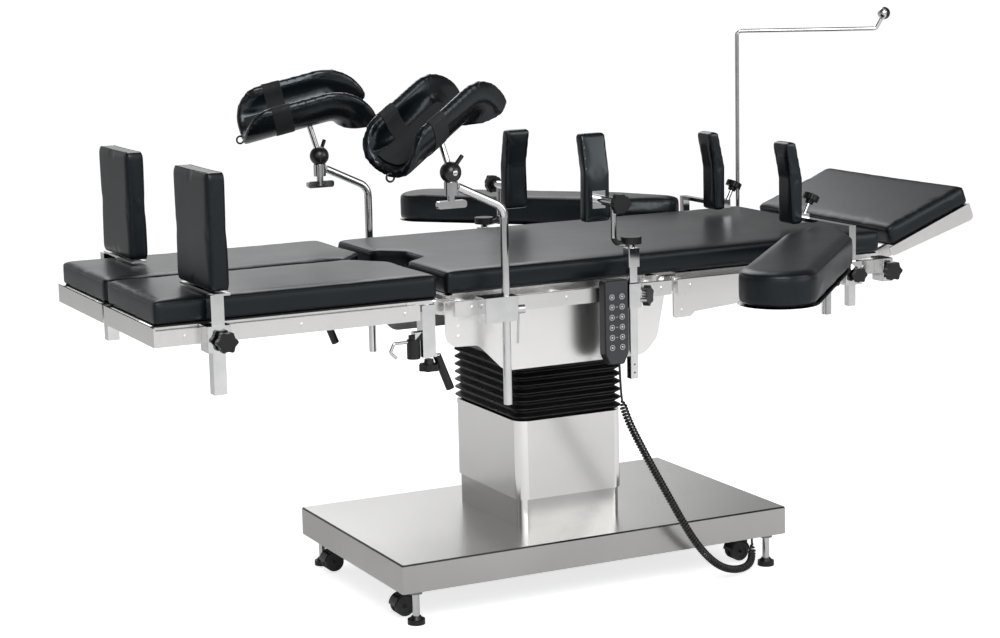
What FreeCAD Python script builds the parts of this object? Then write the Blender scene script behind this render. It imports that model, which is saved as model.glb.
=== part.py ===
import FreeCAD, Part
import math
import os

from FreeCAD import Vector

# Operating table on a telescopic column. Millimetres.
# +X runs from the foot end to the head end, +Y to the patient's right, +Z up.
# The origin is on the floor, in the middle of the four feet.

# Base
base_length = 863.0
base_width = 520.0
base_top = 124.0
skirt_bottom = 67.0
base_sheet = 2.0
base_edge_bevel = 3.0
foot_x = base_length / 2.0 - 35.5
foot_y = base_width / 2.0 - 21.0
foot_disc_r = 17.0
foot_disc_h = 10.0
foot_stem_r = 7.0
foot_housing_r = 13.0
castor_x = foot_x - 16.0
castor_y = foot_y - 59.0
chassis_beam_in = castor_y - 50.0
chassis_beam_out = castor_y - 10.0
castor_trail = 18.0
wheel_r = 20.0
wheel_width = 10.0
wheel_floor_gap = 3.0
running_fit = 0.05
slide_fit = 0.4
rest_gap = 0.3

# Column
column_x = -6.0
column_half_x = 114.5
column_half_y = 146.0
column_corner_r = 20.0
column_sheet = 1.5
lower_cover_top = 316.0
upper_cover_gap = 2.5
upper_cover_bottom = 185.0
upper_cover_top = 345.0
mast_size = 120.0
mast_wall = 6.0
mast_top = 400.0
middle_mast_bottom = 150.0
middle_mast_top = 430.0
inner_mast_bottom = 190.0
pedestal_z = 458.0
pedestal_plate = 10.0
pedestal_half_x = 106.0
pedestal_half_y = 142.0
pleat_count = 7
pleat_out = 10.0
pleat_in = 5.0
bellows_wall = 3.0

# Tilting head
tilt_z = 556.0
ear_inner_y = 58.0
ear_thick = 12.0
trunnion_r = 14.0
tilt_shaft_r = 15.0
tilt_shaft_half = 150.0
hub_half = 120.0
hub_thick = 15.0
hub_r = 27.0

# Tabletop
table_top = 679.0
pad_thick = 44.0
deck_thick = 3.0
table_half_width = 275.0
pad_edge_r = 7.0
seat_foot_x = -330.0
seat_head_x = 103.0
back_foot_x = 209.0
back_head_x = 659.0
beam_in = 240.0
beam_out = 262.0
beam_bottom = 592.0
cover_sheet = 3.0
rail_height = 28.0
rail_thick = 10.0
rail_out = 305.0
rail_z = 612.0
spacer_r = 9.0
notch_mouth = 88.0
notch_floor = 43.0
notch_depth = 53.0

# Hinges
back_hinge_x = 156.0
back_hinge_z = 612.0
hinge_pin_r = 8.0
hinge_ear_r = 15.0
head_hinge_x = 668.0
head_hinge_z = 610.0
head_angle = 21.0
head_half_width = 252.0
head_pad_start = 43.0
head_pad_length = 215.0
head_pad_low = 16.0
head_pad_thick = 41.0
leg_hinge_x = -338.0
leg_hinge_z = 612.0

# Leg sections
leg_foot_x = -906.0
leg_seat_x = -354.0
leg_half_width = 298.0
leg_split = 4.0
leg_pivot_x = -378.0
leg_pivot_y = 283.0
leg_corner_x = 58.0
leg_corner_y = 80.0
post_size = 26.0
post_bottom = 526.0

# Rail clamps and what they hold
clamp_y = 322.0
clamp_low = 585.0
clamp_high = 632.0
clamp_out = 337.0
clamp_half = 22.0
knob_r = 20.0
knob_hub = 0.45
foot_post_x = -800.0
foot_post_size = 24.0
foot_post_low = 508.0
foot_board_low = 688.0
foot_board_top = 902.0
foot_board_thick = 36.0
foot_board_in = 136.0
foot_board_out = 330.0
holder_x = -231.0
holder_rod_r = 8.0
holder_ball_x = -338.0
holder_ball_r = 20.0
rest_in_r = 48.0
rest_out_r = 66.0
rest_wall = 12.0
rest_calf = 182.0
rest_knee_r = 78.0
rest_toe_r = 75.0
rest_corner_r = 30.0
rest_stem_back = 40.0
lateral_x = 39.0
lateral_post_size = 16.0
lateral_crank = 38.0
lateral_rod_r = 5.5
support_pad_width = 56.0
support_pad_thick = 27.0
support_pad_height = 172.0
shoulder_x = 545.0
shoulder_pad_y = 150.0
shoulder_bar = 16.0
arm_board_x = 488.0
arm_board_low = 644.0
arm_board_top = 706.0
arm_board_length = 640.0
arm_board_width = 146.0
arm_board_swing = 47.0
arm_post_r = 10.0
screen_x = 686.0
screen_rod_r = 4.5

# Handset and cord
handset_x = -1.0
handset_width = 52.0
handset_top = 642.0
handset_low = 478.0
handset_thick = 22.0
key_rows = 6
key_first = 32.0
key_pitch = 19.6
key_apart = 22.0
key_r = 6.5
key_raise = 1.0
cord_r = 7.0

left, right = -1.0, 1.0
sides = {"left": left, "right": right}
pad_low = table_top - pad_thick
deck_top = pad_low - rest_gap
deck_low = deck_top - deck_thick
rail_in = rail_out - rail_thick
rail_low = rail_z - rail_height / 2.0
rail_high = rail_z + rail_height / 2.0


def block(x0, x1, y0, y1, z0, z1):
    """A box between two values on each axis, given in any order."""
    lo = Vector(min(x0, x1), min(y0, y1), min(z0, z1))
    hi = Vector(max(x0, x1), max(y0, y1), max(z0, z1))
    size = hi - lo
    return Part.makeBox(size.x, size.y, size.z, lo)


def bar(start, end, r):
    """A round bar between two points."""
    start, end = Vector(*start), Vector(*end)
    run = end - start
    return Part.makeCylinder(r, run.Length, start, run)


def outline(points):
    """A closed flat wire. Each point is (a, b) or (a, b, corner radius)."""
    corners = []
    count = len(points)
    for i, point in enumerate(points):
        here = Vector(point[0], point[1], 0)
        r = point[2] if len(point) > 2 else 0.0
        if r <= 0:
            corners.append((here, None, here))
            continue
        before = Vector(*points[i - 1][:2], 0) - here
        after = Vector(*points[(i + 1) % count][:2], 0) - here
        half = before.getAngle(after) / 2.0
        before.normalize()
        after.normalize()
        reach = r / math.tan(half)
        inward = (before + after).normalize()
        middle = here + inward * (r / math.sin(half) - r)
        corners.append((here + before * reach, middle, here + after * reach))
    edges = []
    for i, (start, middle, end) in enumerate(corners):
        if middle is not None:
            edges.append(Part.Arc(start, middle, end).toShape())
        following = corners[(i + 1) % count][0]
        if (following - end).Length > 1e-6:
            edges.append(Part.LineSegment(end, following).toShape())
    return Part.Wire(edges)


def slab(points, plane, level, depth):
    """An outline drawn in the xy, xz or yz plane, made solid from level by depth."""
    solid = Part.Face(outline(points)).extrude(Vector(0, 0, depth))
    if plane == "xz":
        solid.rotate(Vector(0, 0, 0), Vector(1, 0, 0), 90)
        solid.translate(Vector(0, level + depth, 0))
    elif plane == "yz":
        solid.rotate(Vector(0, 0, 0), Vector(1, 0, 0), 90)
        solid.rotate(Vector(0, 0, 0), Vector(0, 0, 1), 90)
        solid.translate(Vector(level, 0, 0))
    else:
        solid.translate(Vector(0, 0, level))
    return solid


def rounded_rect(half_x, half_y, r, middle_x=0.0):
    """The corners of a rectangle about (middle_x, 0), each with the same radius."""
    return [
        (middle_x - half_x, -half_y, r),
        (middle_x + half_x, -half_y, r),
        (middle_x + half_x, half_y, r),
        (middle_x - half_x, half_y, r),
    ]


def joined(shapes):
    """One solid of several that touch."""
    whole = shapes[0]
    if len(shapes) > 1:
        whole = whole.fuse(shapes[1:])
    return whole.removeSplitter()


def mirrored(shape, side):
    """A shape modelled at positive y, put on the side asked for."""
    return shape if side > 0 else shape.mirror(Vector(0, 0, 0), Vector(0, 1, 0))


def group(shapes):
    """Separate solids that share one node."""
    solids = []
    for shape in shapes:
        solids.extend(shape.Solids)
    return Part.makeCompound(solids)


def softened(solid, r, keep):
    """A solid with the edges that keep() picks rounded."""
    return solid.makeFillet(r, [edge for edge in solid.Edges if keep(edge)])


def on_level(z):
    """Picks the edges that lie at one height."""
    def test(edge):
        box = edge.BoundBox
        return abs(box.ZMin - z) < 1e-4 and abs(box.ZMax - z) < 1e-4
    return test


def bent_bar(points, r, bend):
    """A round bar along straight runs joined by arcs of one radius."""
    stops = [Vector(*p) for p in points]
    edges = []
    last = stops[0]
    for i in range(1, len(stops) - 1):
        before = (stops[i - 1] - stops[i]).normalize()
        after = (stops[i + 1] - stops[i]).normalize()
        half = before.getAngle(after) / 2.0
        reach = bend / math.tan(half)
        middle = stops[i] + (before + after).normalize() * (bend / math.sin(half) - bend)
        start = stops[i] + before * reach
        end = stops[i] + after * reach
        edges.append(Part.LineSegment(last, start).toShape())
        edges.append(Part.Arc(start, middle, end).toShape())
        last = end
    edges.append(Part.LineSegment(last, stops[-1]).toShape())
    path = Part.Wire(edges)
    first_run = stops[1] - stops[0]
    section = Part.Wire([Part.Circle(stops[0], first_run, r).toShape()])
    return path.makePipeShell([section], True, False)


def star_knob(centre, axis, r=knob_r, lobes=6):
    """A lobed hand knob with its hub, the face looking along axis."""
    thick = 0.62 * r
    waist = 0.24 * r
    body = Part.makeCylinder(0.86 * r, thick)
    for i in range(lobes):
        a = 2 * math.pi * i / lobes
        lobe = Part.makeCylinder(waist, thick, Vector(0.76 * r * math.cos(a), 0.76 * r * math.sin(a), 0))
        notch_a = a + math.pi / lobes
        notch_x = 1.04 * r * math.cos(notch_a)
        notch_y = 1.04 * r * math.sin(notch_a)
        body = body.fuse(lobe).cut(Part.makeCylinder(waist, thick, Vector(notch_x, notch_y, 0)))
    hub = Part.makeCone(0.42 * r, 0.5 * r, knob_hub * r, Vector(0, 0, -knob_hub * r))
    knob = joined([body, hub])
    turn = FreeCAD.Rotation(Vector(0, 0, 1), Vector(*axis))
    knob.Placement = FreeCAD.Placement(Vector(*centre), turn)
    return knob


# The base

def base_cover():
    """The bevelled sheet-steel cover of the base, open underneath."""
    height = base_top - skirt_bottom
    outer = slab(rounded_rect(base_length / 2, base_width / 2, 4.0), "xy", skirt_bottom, height)
    outer = outer.makeChamfer(base_edge_bevel, [e for e in outer.Edges if on_level(base_top)(e)])
    inner = slab(
        rounded_rect(base_length / 2 - base_sheet, base_width / 2 - base_sheet, 2.0),
        "xy", skirt_bottom, height - base_sheet,
    )
    opening = mast_size / 2 + 2.0
    hole = block(column_x - opening, column_x + opening, -opening, opening, skirt_bottom, base_top)
    return outer.cut(inner).cut(hole)


def foot_places():
    return [(sx * foot_x, sy * foot_y) for sx in (-1, 1) for sy in (-1, 1)]


def castor_places():
    return [(sx * castor_x, sy * castor_y) for sx in (-1, 1) for sy in (-1, 1)]


chassis_low = 72.0
chassis_high = base_top - base_sheet
castor_crown_top = 64.0
castor_stem_r = 6.0
castor_stem_top = 96.0
foot_travel = 10.0
mast_seat_z = 104.0


def base_chassis():
    """Two long beams, two cross beams, the mast seat and the foot housings."""
    end = foot_x + 4
    inside = chassis_beam_in + 1
    pieces = []
    for s in (-1, 1):
        pieces.append(block(-end, end, s * chassis_beam_in, s * chassis_beam_out, chassis_low, chassis_high))
        pieces.append(block(s * (foot_x - 41), s * (foot_x + 16), -foot_y, foot_y, chassis_low, chassis_high))
    pieces.append(block(column_x - 95, column_x + 95, -inside, inside, mast_seat_z - 10, mast_seat_z))
    pieces.append(block(-320, -120, -inside, inside, chassis_low, chassis_low + 3))
    for x, y in foot_places():
        pieces.append(bar((x, y, 60), (x, y, chassis_high), foot_housing_r))
    for x, y in castor_places():
        pieces.append(bar((x, y, castor_crown_top + 1), (x, y, chassis_low + 1), 16))
    frame = joined(pieces)
    for x, y in foot_places():
        frame = frame.cut(bar((x, y, 55), (x, y, chassis_high - 3), foot_stem_r + running_fit))
    for x, y in castor_places():
        frame = frame.cut(bar((x, y, 60), (x, y, castor_stem_top + 1), castor_stem_r + running_fit))
    return frame


def power_unit():
    """The pump tank and motor that drive the cylinders."""
    floor = chassis_low + 3
    tank = softened(block(-310, -215, -90, 90, floor, floor + 36), 4, lambda e: True)
    motor = bar((-215, 20, floor + 20), (-135, 20, floor + 20), 19)
    end_cap = bar((-135, 20, floor + 20), (-128, 20, floor + 20), 15)
    valves = block(-215, -170, -80, -25, floor, floor + 28)
    return joined([tank, motor, end_cap, valves])


def brake_feet():
    """Four rubber-faced feet on plungers that lower together."""
    feet = []
    for x, y in foot_places():
        disc = bar((x, y, 0), (x, y, foot_disc_h), foot_disc_r)
        collar = Part.makeCone(13.5, 9.5, 6, Vector(x, y, foot_disc_h))
        stem_top = chassis_high - 3 - foot_travel - 2
        stem = bar((x, y, foot_disc_h), (x, y, stem_top), foot_stem_r)
        feet.append(joined([disc, collar, stem]))
    return group(feet)


def castor_fork(x, y):
    """A twin-wheel castor's stem, crown, web, axle and hood."""
    wheel_z = wheel_r + wheel_floor_gap
    wheel_x = x - castor_trail
    web_half = 4.0
    pieces = [
        bar((x, y, castor_crown_top - 2), (x, y, castor_stem_top), castor_stem_r),
        bar((x, y, 45), (x, y, castor_crown_top), 11),
        block(wheel_x - 5, x + 6, y - web_half, y + web_half, wheel_z - 5, 52),
        bar((wheel_x, y - 16, wheel_z), (wheel_x, y + 16, wheel_z), 3),
    ]
    hood_out = wheel_r + 3.5
    hood = bar((wheel_x, y - 15, wheel_z), (wheel_x, y + 15, wheel_z), hood_out)
    hood = hood.cut(bar((wheel_x, y - 16, wheel_z), (wheel_x, y + 16, wheel_z), wheel_r + 1.5))
    hood = hood.common(block(wheel_x - 30, wheel_x + 30, y - 16, y + 16, wheel_z + 2, 60))
    return joined(pieces + [hood])


def castor_wheel(x, y):
    """Two wheels on one axle, one each side of the web."""
    wheel_z = wheel_r + wheel_floor_gap
    wheel_x = x - castor_trail
    wheels = []
    for s in (-1, 1):
        inner = y + s * 4.5
        outer = inner + s * wheel_width
        disc = bar((wheel_x, inner, wheel_z), (wheel_x, outer, wheel_z), wheel_r)
        dish = bar((wheel_x, outer - s * 2, wheel_z), (wheel_x, outer + s, wheel_z), wheel_r - 5)
        hole = bar((wheel_x, inner - s, wheel_z), (wheel_x, outer + s, wheel_z), 3 + running_fit)
        wheels.append(disc.cut(dish).cut(hole))
    return group(wheels)


# The column

def square_tube(size, z0, z1):
    """A square tube with the mast's wall, on the column's centre line."""
    outer = block(column_x - size / 2, column_x + size / 2, -size / 2, size / 2, z0, z1)
    bore = size / 2 - mast_wall
    return outer.cut(block(column_x - bore, column_x + bore, -bore, bore, z0 - 1, z1 + 1))


def mast_outer():
    """The fixed stage of the mast with its bolted flange."""
    flange = block(column_x - 88, column_x + 88, -88, 88, mast_seat_z, mast_seat_z + 12)
    bore = mast_size / 2 - mast_wall
    flange = flange.cut(
        block(column_x - bore, column_x + bore, -bore, bore, mast_seat_z - 1, mast_seat_z + 20)
    )
    return joined([flange, square_tube(mast_size, mast_seat_z, mast_top)])


def cover_tube(grow, z0, z1):
    """A thin tube with the column's rounded section, larger by grow."""
    r = column_corner_r + grow
    half_x = column_half_x + grow
    half_y = column_half_y + grow
    outer = slab(rounded_rect(half_x, half_y, r, column_x), "xy", z0, z1 - z0)
    t = column_sheet
    inner = slab(rounded_rect(half_x - t, half_y - t, r - t, column_x), "xy", z0, z1 - z0)
    return outer.cut(inner)


def column_lower_cover():
    return cover_tube(0.0, base_top, lower_cover_top)


upper_grow = column_sheet + upper_cover_gap
flange_inset = 14.0


def column_upper_cover():
    """The moving cover, with the inward flange that carries the bellows."""
    tube = cover_tube(upper_grow, upper_cover_bottom, upper_cover_top)
    half_x = column_half_x + upper_grow
    half_y = column_half_y + upper_grow
    low = upper_cover_top - column_sheet
    flange = slab(rounded_rect(half_x, half_y, column_corner_r + upper_grow, column_x), "xy", low, column_sheet)
    window = rounded_rect(half_x - flange_inset, half_y - flange_inset, 12.0, column_x)
    flange = flange.cut(slab(window, "xy", low, column_sheet))
    pieces = [tube, flange]
    # Trim strips stand on the four faces, short of the rounded corners.
    for s in (-1, 1):
        face_y = s * half_y
        face_x = column_x + s * half_x
        pieces.append(block(
            column_x - half_x + 20, column_x + half_x - 20, face_y - s, face_y + s * 1.5,
            upper_cover_top - 9, upper_cover_top,
        ))
        pieces.append(block(
            face_x - s, face_x + s * 1.5, -half_y + 20, half_y - 20,
            upper_cover_top - 9, upper_cover_top,
        ))
    return joined(pieces)


def mast_middle():
    """The middle stage, with the carrier that lifts the upper cover."""
    size = mast_size - 2 * mast_wall - 2 * slide_fit
    tube = square_tube(size, middle_mast_bottom, middle_mast_top)
    plate = block(
        column_x - 96, column_x + 96, -132, 132, middle_mast_top - 8, middle_mast_top - 2
    )
    bore = size / 2 - mast_wall
    plate = plate.cut(block(column_x - bore, column_x + bore, -bore, bore, 0, 600))
    pieces = [tube, plate]
    hook_z = upper_cover_top - column_sheet
    for sx in (-1, 1):
        for sy in (-1, 1):
            x = column_x + sx * 90
            y = sy * 130
            pieces.append(block(x - 6, x + 6, y - 2, y + 2, hook_z - 6, middle_mast_top - 2))
            pieces.append(block(x - 6, x + 6, y - 2, sy * 140, hook_z - 6, hook_z - rest_gap))
    return joined(pieces)


def bellows_section(grow, z):
    """The bellows' outline at one height, larger than the cover by grow."""
    half_x = column_half_x + grow
    half_y = column_half_y + grow
    wire = outline(rounded_rect(half_x, half_y, column_corner_r + grow, column_x))
    wire.translate(Vector(0, 0, z))
    return wire


def bellows():
    """Pleated rubber sleeve between the upper cover and the tilting head."""
    low = upper_cover_top + rest_gap
    high = pedestal_z - rest_gap
    pitch = (high - low) / pleat_count
    rings = []
    for i in range(pleat_count):
        z = low + i * pitch
        rings.append(bellows_section(-pleat_in, z))
        rings.append(bellows_section(pleat_out, z + pitch / 2))
    rings.append(bellows_section(-pleat_in, high))
    outer = Part.makeLoft(rings, True, True)
    half_x = column_half_x - pleat_in - bellows_wall
    half_y = column_half_y - pleat_in - bellows_wall
    hollow = slab(rounded_rect(half_x, half_y, 12.0, column_x), "xy", low - 1, high - low + 2)
    sleeve = outer.cut(hollow)
    return sleeve


def tilt_pedestal():
    """The inner stage of the mast with the head plate and the trunnion ears."""
    size = mast_size - 4 * mast_wall - 4 * slide_fit
    pieces = [square_tube(size, inner_mast_bottom, pedestal_z + 1)]
    pieces.append(block(
        column_x - pedestal_half_x, column_x + pedestal_half_x, -pedestal_half_y, pedestal_half_y,
        pedestal_z, pedestal_z + pedestal_plate,
    ))
    ear_low = pedestal_z + pedestal_plate - 1
    for s in (-1, 1):
        profile = [
            (column_x - 58, ear_low), (column_x + 58, ear_low),
            (column_x + 26, tilt_z + 26, 26), (column_x - 26, tilt_z + 26, 26),
        ]
        low_y = s * ear_inner_y if s > 0 else -ear_inner_y - ear_thick
        pieces.append(slab(profile, "xz", low_y, ear_thick))
    head = joined(pieces)
    reach = ear_inner_y + ear_thick + 1
    return head.cut(bar((column_x, -reach, tilt_z), (column_x, reach, tilt_z), trunnion_r + running_fit))


def tilt_yoke():
    """The cross block: trunnions for the lengthways tilt, a shaft for the side tilt."""
    half_y = ear_inner_y - 2
    body = block(column_x - 38, column_x + 38, -half_y, half_y, tilt_z - 25, tilt_z + 25)
    body = softened(body, 5, lambda e: True)
    reach = ear_inner_y + ear_thick + 3
    trunnions = bar((column_x, -reach, tilt_z), (column_x, reach, tilt_z), trunnion_r)
    shaft = bar(
        (column_x - tilt_shaft_half, 0, tilt_z), (column_x + tilt_shaft_half, 0, tilt_z), tilt_shaft_r
    )
    return joined([body, trunnions, shaft])


# The tabletop's frames

def rail(x0, x1, side):
    """One accessory rail on its side of the table."""
    return block(x0, x1, side * rail_in, side * rail_out, rail_low, rail_high)


def rail_spacers(places, inner, side):
    """The spacers that hold a rail off the frame, with the screws' heads outside."""
    pieces = []
    for x in places:
        pieces.append(bar((x, side * inner, rail_z), (x, side * rail_in, rail_z), spacer_r))
        pieces.append(bar((x, side * rail_out, rail_z), (x, side * (rail_out + 2.2), rail_z), 5.0))
    return pieces


def seat_outline(grow, corner):
    """The seat's plan with the notch at its foot end, smaller by -grow all round."""
    x0 = seat_foot_x - grow
    x1 = seat_head_x
    w = table_half_width + grow
    mouth = notch_mouth - 0.6 * grow
    floor = notch_floor - grow
    depth_x = seat_foot_x + notch_depth - grow
    return [
        (x0, -w, corner), (x1, -w), (x1, w), (x0, w, corner),
        (x0, mouth, 6), (depth_x, floor, 12), (depth_x, -floor, 12), (x0, -mouth, 6),
    ]


def seat_frame():
    """Side beams, cross plates on the tilt shaft, deck sheet, rails and hinge ears."""
    deck_outline = seat_outline(-(table_half_width - beam_out), 4)
    pieces = [slab(deck_outline, "xy", deck_low, deck_thick)]
    beam_head = back_hinge_x - 31
    beam_foot = leg_hinge_x + 15
    for s in (-1, 1):
        pieces.append(block(beam_foot, beam_head, s * beam_in, s * beam_out, beam_bottom, deck_low))
        pieces += rail_spacers((-290, -90, 118), beam_out, s)
        pieces.append(rail(-328, 138, s))
        # Ear of the back section's hinge, and ears of the leg section's hinge.
        back_ear = [
            (beam_head - 2, back_hinge_z - 15), (back_hinge_x - 14, back_hinge_z - 15),
            (back_hinge_x, back_hinge_z - 15), (back_hinge_x + 15, back_hinge_z - 15, 14.9),
            (back_hinge_x + 15, back_hinge_z + 15, 14.9), (beam_head - 2, back_hinge_z + 15),
        ]
        pieces.append(slab(back_ear, "xz", 247 if s > 0 else -255, 8))
        leg_ear = [
            (beam_foot + 2, leg_hinge_z - 15), (beam_foot + 2, leg_hinge_z + 15),
            (leg_hinge_x - 15, leg_hinge_z + 15, 14.9), (leg_hinge_x - 15, leg_hinge_z - 15, 14.9),
        ]
        for y in (240, 256):
            pieces.append(slab(leg_ear, "xz", y if s > 0 else -y - 6, 6))
    for x in (-262, 100):
        pieces.append(block(x, x + 14, -beam_out, beam_out, 606, deck_low))
    for s in (-1, 1):
        x = column_x + s * hub_half if s > 0 else column_x - hub_half - hub_thick
        web = [
            (-beam_out, deck_low), (-beam_out, 608), (-60, 600, 20), (-hub_r, tilt_z - hub_r + 4, 20),
            (hub_r, tilt_z - hub_r + 4, 20), (60, 600, 20), (beam_out, 608), (beam_out, deck_low),
        ]
        pieces.append(slab(web, "yz", x, hub_thick))
    frame = joined(pieces)
    reach = hub_half + hub_thick + 2
    frame = frame.cut(
        bar((column_x - reach, 0, tilt_z), (column_x + reach, 0, tilt_z), tilt_shaft_r + running_fit)
    )
    for s in (-1, 1):
        for x, z in ((back_hinge_x, back_hinge_z), (leg_hinge_x, leg_hinge_z)):
            frame = frame.cut(bar((x, s * 236, z), (x, s * 266, z), hinge_pin_r + running_fit))
    return frame


def side_covers():
    """The shaped steel cheeks that hang from the seat frame."""
    profile = [
        (seat_foot_x, 620), (seat_foot_x, 534, 26), (-262, 532, 26), (-208, 477, 30),
        (98, 477, 40), (128, 510, 20), (146, 596), (146, 620),
    ]
    covers = []
    for s in (-1, 1):
        low = beam_out if s > 0 else -beam_out - cover_sheet
        sheet = slab(profile, "xz", low, cover_sheet)
        for x in (-290, -90, 118):
            sheet = sheet.cut(bar((x, s * 260, rail_z), (x, s * 268, rail_z), spacer_r + 0.2))
        heads = []
        for x, z in ((-302, 585), (-302, 571), (-302, 552)):
            heads.append(bar((x, s * (beam_out + cover_sheet), z), (x, s * (beam_out + 5), z), 4))
        covers.append(joined([sheet] + heads))
    return group(covers)


def seat_pad():
    pad = slab(seat_outline(0, 10), "xy", pad_low, pad_thick)
    return softened(pad, pad_edge_r, on_level(table_top))


def pad_bend():
    """The stretch of the mattress that folds over the back section's hinge."""
    w = table_half_width
    pad = block(seat_head_x + rest_gap, back_foot_x - rest_gap, -w, w, pad_low, table_top)
    return softened(pad, pad_edge_r, lambda e: on_level(table_top)(e) and e.BoundBox.XLength > 50)


def back_pad():
    w = table_half_width
    plan = [(back_foot_x, -w), (back_head_x, -w, 10), (back_head_x, w, 10), (back_foot_x, w)]
    pad = slab(plan, "xy", pad_low, pad_thick)
    return softened(
        pad, pad_edge_r,
        lambda e: on_level(table_top)(e) and e.BoundBox.XMax > back_foot_x + 1,
    )


def back_frame():
    """The back section's beams, deck, rails, side plates and hinge pins."""
    head_end = head_hinge_x - 20
    beam_start = back_hinge_x + 19
    pieces = [block(back_foot_x, back_head_x - 8, -beam_out, beam_out, deck_low, deck_top)]
    for s in (-1, 1):
        pieces.append(block(beam_start, head_end, s * beam_in, s * beam_out, beam_bottom + 4, deck_low))
        pieces += rail_spacers((184, 400, 590), beam_out, s)
        pieces.append(rail(152, 658, s))
        plate = [
            (165, 622), (165, 543, 6), (206, 543, 6), (214, 552, 8), (326, 560, 20), (640, 592),
            (648, 622),
        ]
        sheet_y = beam_out if s > 0 else -beam_out - cover_sheet
        pieces.append(slab(plate, "xz", sheet_y, cover_sheet))
        for x, z in ((178, 590), (196, 590), (187, 556)):
            pieces.append(bar((x, s * beam_out, z), (x, s * (beam_out + 5), z), 4))
        ear = [
            (beam_start + 2, back_hinge_z - 15), (beam_start + 2, back_hinge_z + 15),
            (back_hinge_x - 15, back_hinge_z + 15, 14.9), (back_hinge_x - 15, back_hinge_z - 15, 14.9),
        ]
        for y in (240, 256):
            pieces.append(slab(ear, "xz", y if s > 0 else -y - 6, 6))
        pieces.append(bar((back_hinge_x, s * 240, back_hinge_z), (back_hinge_x, s * 262, back_hinge_z),
                          hinge_pin_r))
        head_ear = [
            (head_end - 2, head_hinge_z - 14), (head_hinge_x + 14, head_hinge_z - 14, 13.9),
            (head_hinge_x + 14, head_hinge_z + 14, 13.9), (head_end - 2, head_hinge_z + 14),
        ]
        for y in (200, 222):
            pieces.append(slab(head_ear, "xz", y if s > 0 else -y - 8, 8))
    for x in (220, 420, head_end - 14):
        pieces.append(block(x, x + 14, -beam_out, beam_out, 604, deck_low))
    frame = joined(pieces)
    for s in (-1, 1):
        frame = frame.cut(bar((head_hinge_x, s * 196, head_hinge_z), (head_hinge_x, s * 234, head_hinge_z),
                              hinge_pin_r + running_fit))
    return frame


def tilted_head(shape):
    """Turns the head section from flat to the angle that it rests at."""
    shape.rotate(Vector(head_hinge_x, 0, head_hinge_z), Vector(0, -1, 0), head_angle)
    return shape


def head_frame():
    """The head section's side plates, cross bars, deck and hinge arms."""
    deck_z = head_hinge_z + head_pad_low - rest_gap
    x0 = head_hinge_x + head_pad_start
    x1 = x0 + head_pad_length
    w = head_half_width
    pieces = [block(x0 + 4, x1 - 6, -w + 4, w - 4, deck_z - 3, deck_z)]
    for s in (-1, 1):
        cheek = [
            (x0 - 8, deck_z), (x0 - 8, deck_z - 20, 8), (x1 - 4, deck_z - 36, 10), (x1 - 4, deck_z),
        ]
        pieces.append(slab(cheek, "xz", w - 6 if s > 0 else -w + 3, 3))
        arm = [
            (head_hinge_x - 13, head_hinge_z - 13, 12.9), (x0 + 40, head_hinge_z - 13),
            (x0 + 40, head_hinge_z + 13), (head_hinge_x - 13, head_hinge_z + 13, 12.9),
        ]
        pieces.append(slab(arm, "xz", 209 if s > 0 else -221, 12))
        pieces.append(bar((head_hinge_x, s * 200, head_hinge_z), (head_hinge_x, s * 230, head_hinge_z),
                          hinge_pin_r))
    for x in (x0 + 26, x1 - 40):
        pieces.append(block(x, x + 14, -w + 3, w - 3, deck_z - 18, deck_z))
    return tilted_head(joined(pieces))


def head_pad():
    x0 = head_hinge_x + head_pad_start
    x1 = x0 + head_pad_length
    z0 = head_hinge_z + head_pad_low
    w = head_half_width
    pad = slab([(x0, -w, 10), (x1, -w, 14), (x1, w, 14), (x0, w, 10)], "xy", z0, head_pad_thick)
    pad = softened(pad, pad_edge_r, on_level(z0 + head_pad_thick))
    return tilted_head(pad)


# The leg sections, modelled on the right and mirrored

def leg_outline(inset, corner):
    """One leg section's plan, its inner corner cut away beside the seat's notch."""
    x0 = leg_foot_x + inset
    x1 = leg_seat_x - inset
    y0 = leg_split + inset
    y1 = leg_half_width - inset
    return [
        (x0, y0, corner), (x1 - leg_corner_x, y0, 10), (x1, leg_corner_y + inset, 14),
        (x1, y1, corner), (x0, y1, corner),
    ]


def leg_bracket(side):
    """Hinge lug, square post, gas spring, locking knob, hook and hand grip."""
    half = post_size / 2
    x, y = leg_pivot_x, leg_pivot_y
    lug = [
        (leg_hinge_x + 14, leg_hinge_z - 14, 13.9), (leg_hinge_x + 14, leg_hinge_z + 14, 13.9),
        (x - half, leg_hinge_z + 14), (x - half, leg_hinge_z - 14),
    ]
    plain = [
        slab(lug, "xz", 246.5, 9),
        bar((leg_hinge_x, 240, leg_hinge_z), (leg_hinge_x, 262, leg_hinge_z), hinge_pin_r),
        block(x - half, leg_hinge_x - 20, 250, y - half + 1, leg_hinge_z - 12, leg_hinge_z + 12),
        block(x - half, x + half, y - half, y + half, post_bottom, 624),
        block(x - half - 14, x - half + 1, y - 9, y + 9, 560, 574),
        bar((x, y, post_bottom - 2), (x, y, post_bottom + 1), 9),
    ]
    body = joined(plain)
    body = body.cut(bar((x, y, 540), (x, y, 640), 8 + running_fit))
    spring = joined([
        bar((x - 27, y, 524), (x - 27, y, 560), 12.5),
        bar((x - 27, y, 560), (x - 27, y, 568), 9),
    ])
    spring = spring.cut(body)
    knob = star_knob((x + 2, y + 3.5, post_bottom - 14), (0, 0, -1))
    hook = bent_bar([(x - 39, y, 556), (x - 66, y, 556), (x - 74, y, 540), (x - 62, y, 528)], 3, 4)
    grip = joined([
        bar((x + 12, y, 530), (x + 24, y, 520), 5),
        bar((x + 20, y, 526), (x + 46, y, 460), 8),
    ])
    grip = grip.cut(knob).cut(body)
    hook = hook.cut(spring)
    solids = [body, spring, knob, hook, grip]
    return mirrored(group(solids), side)


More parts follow.
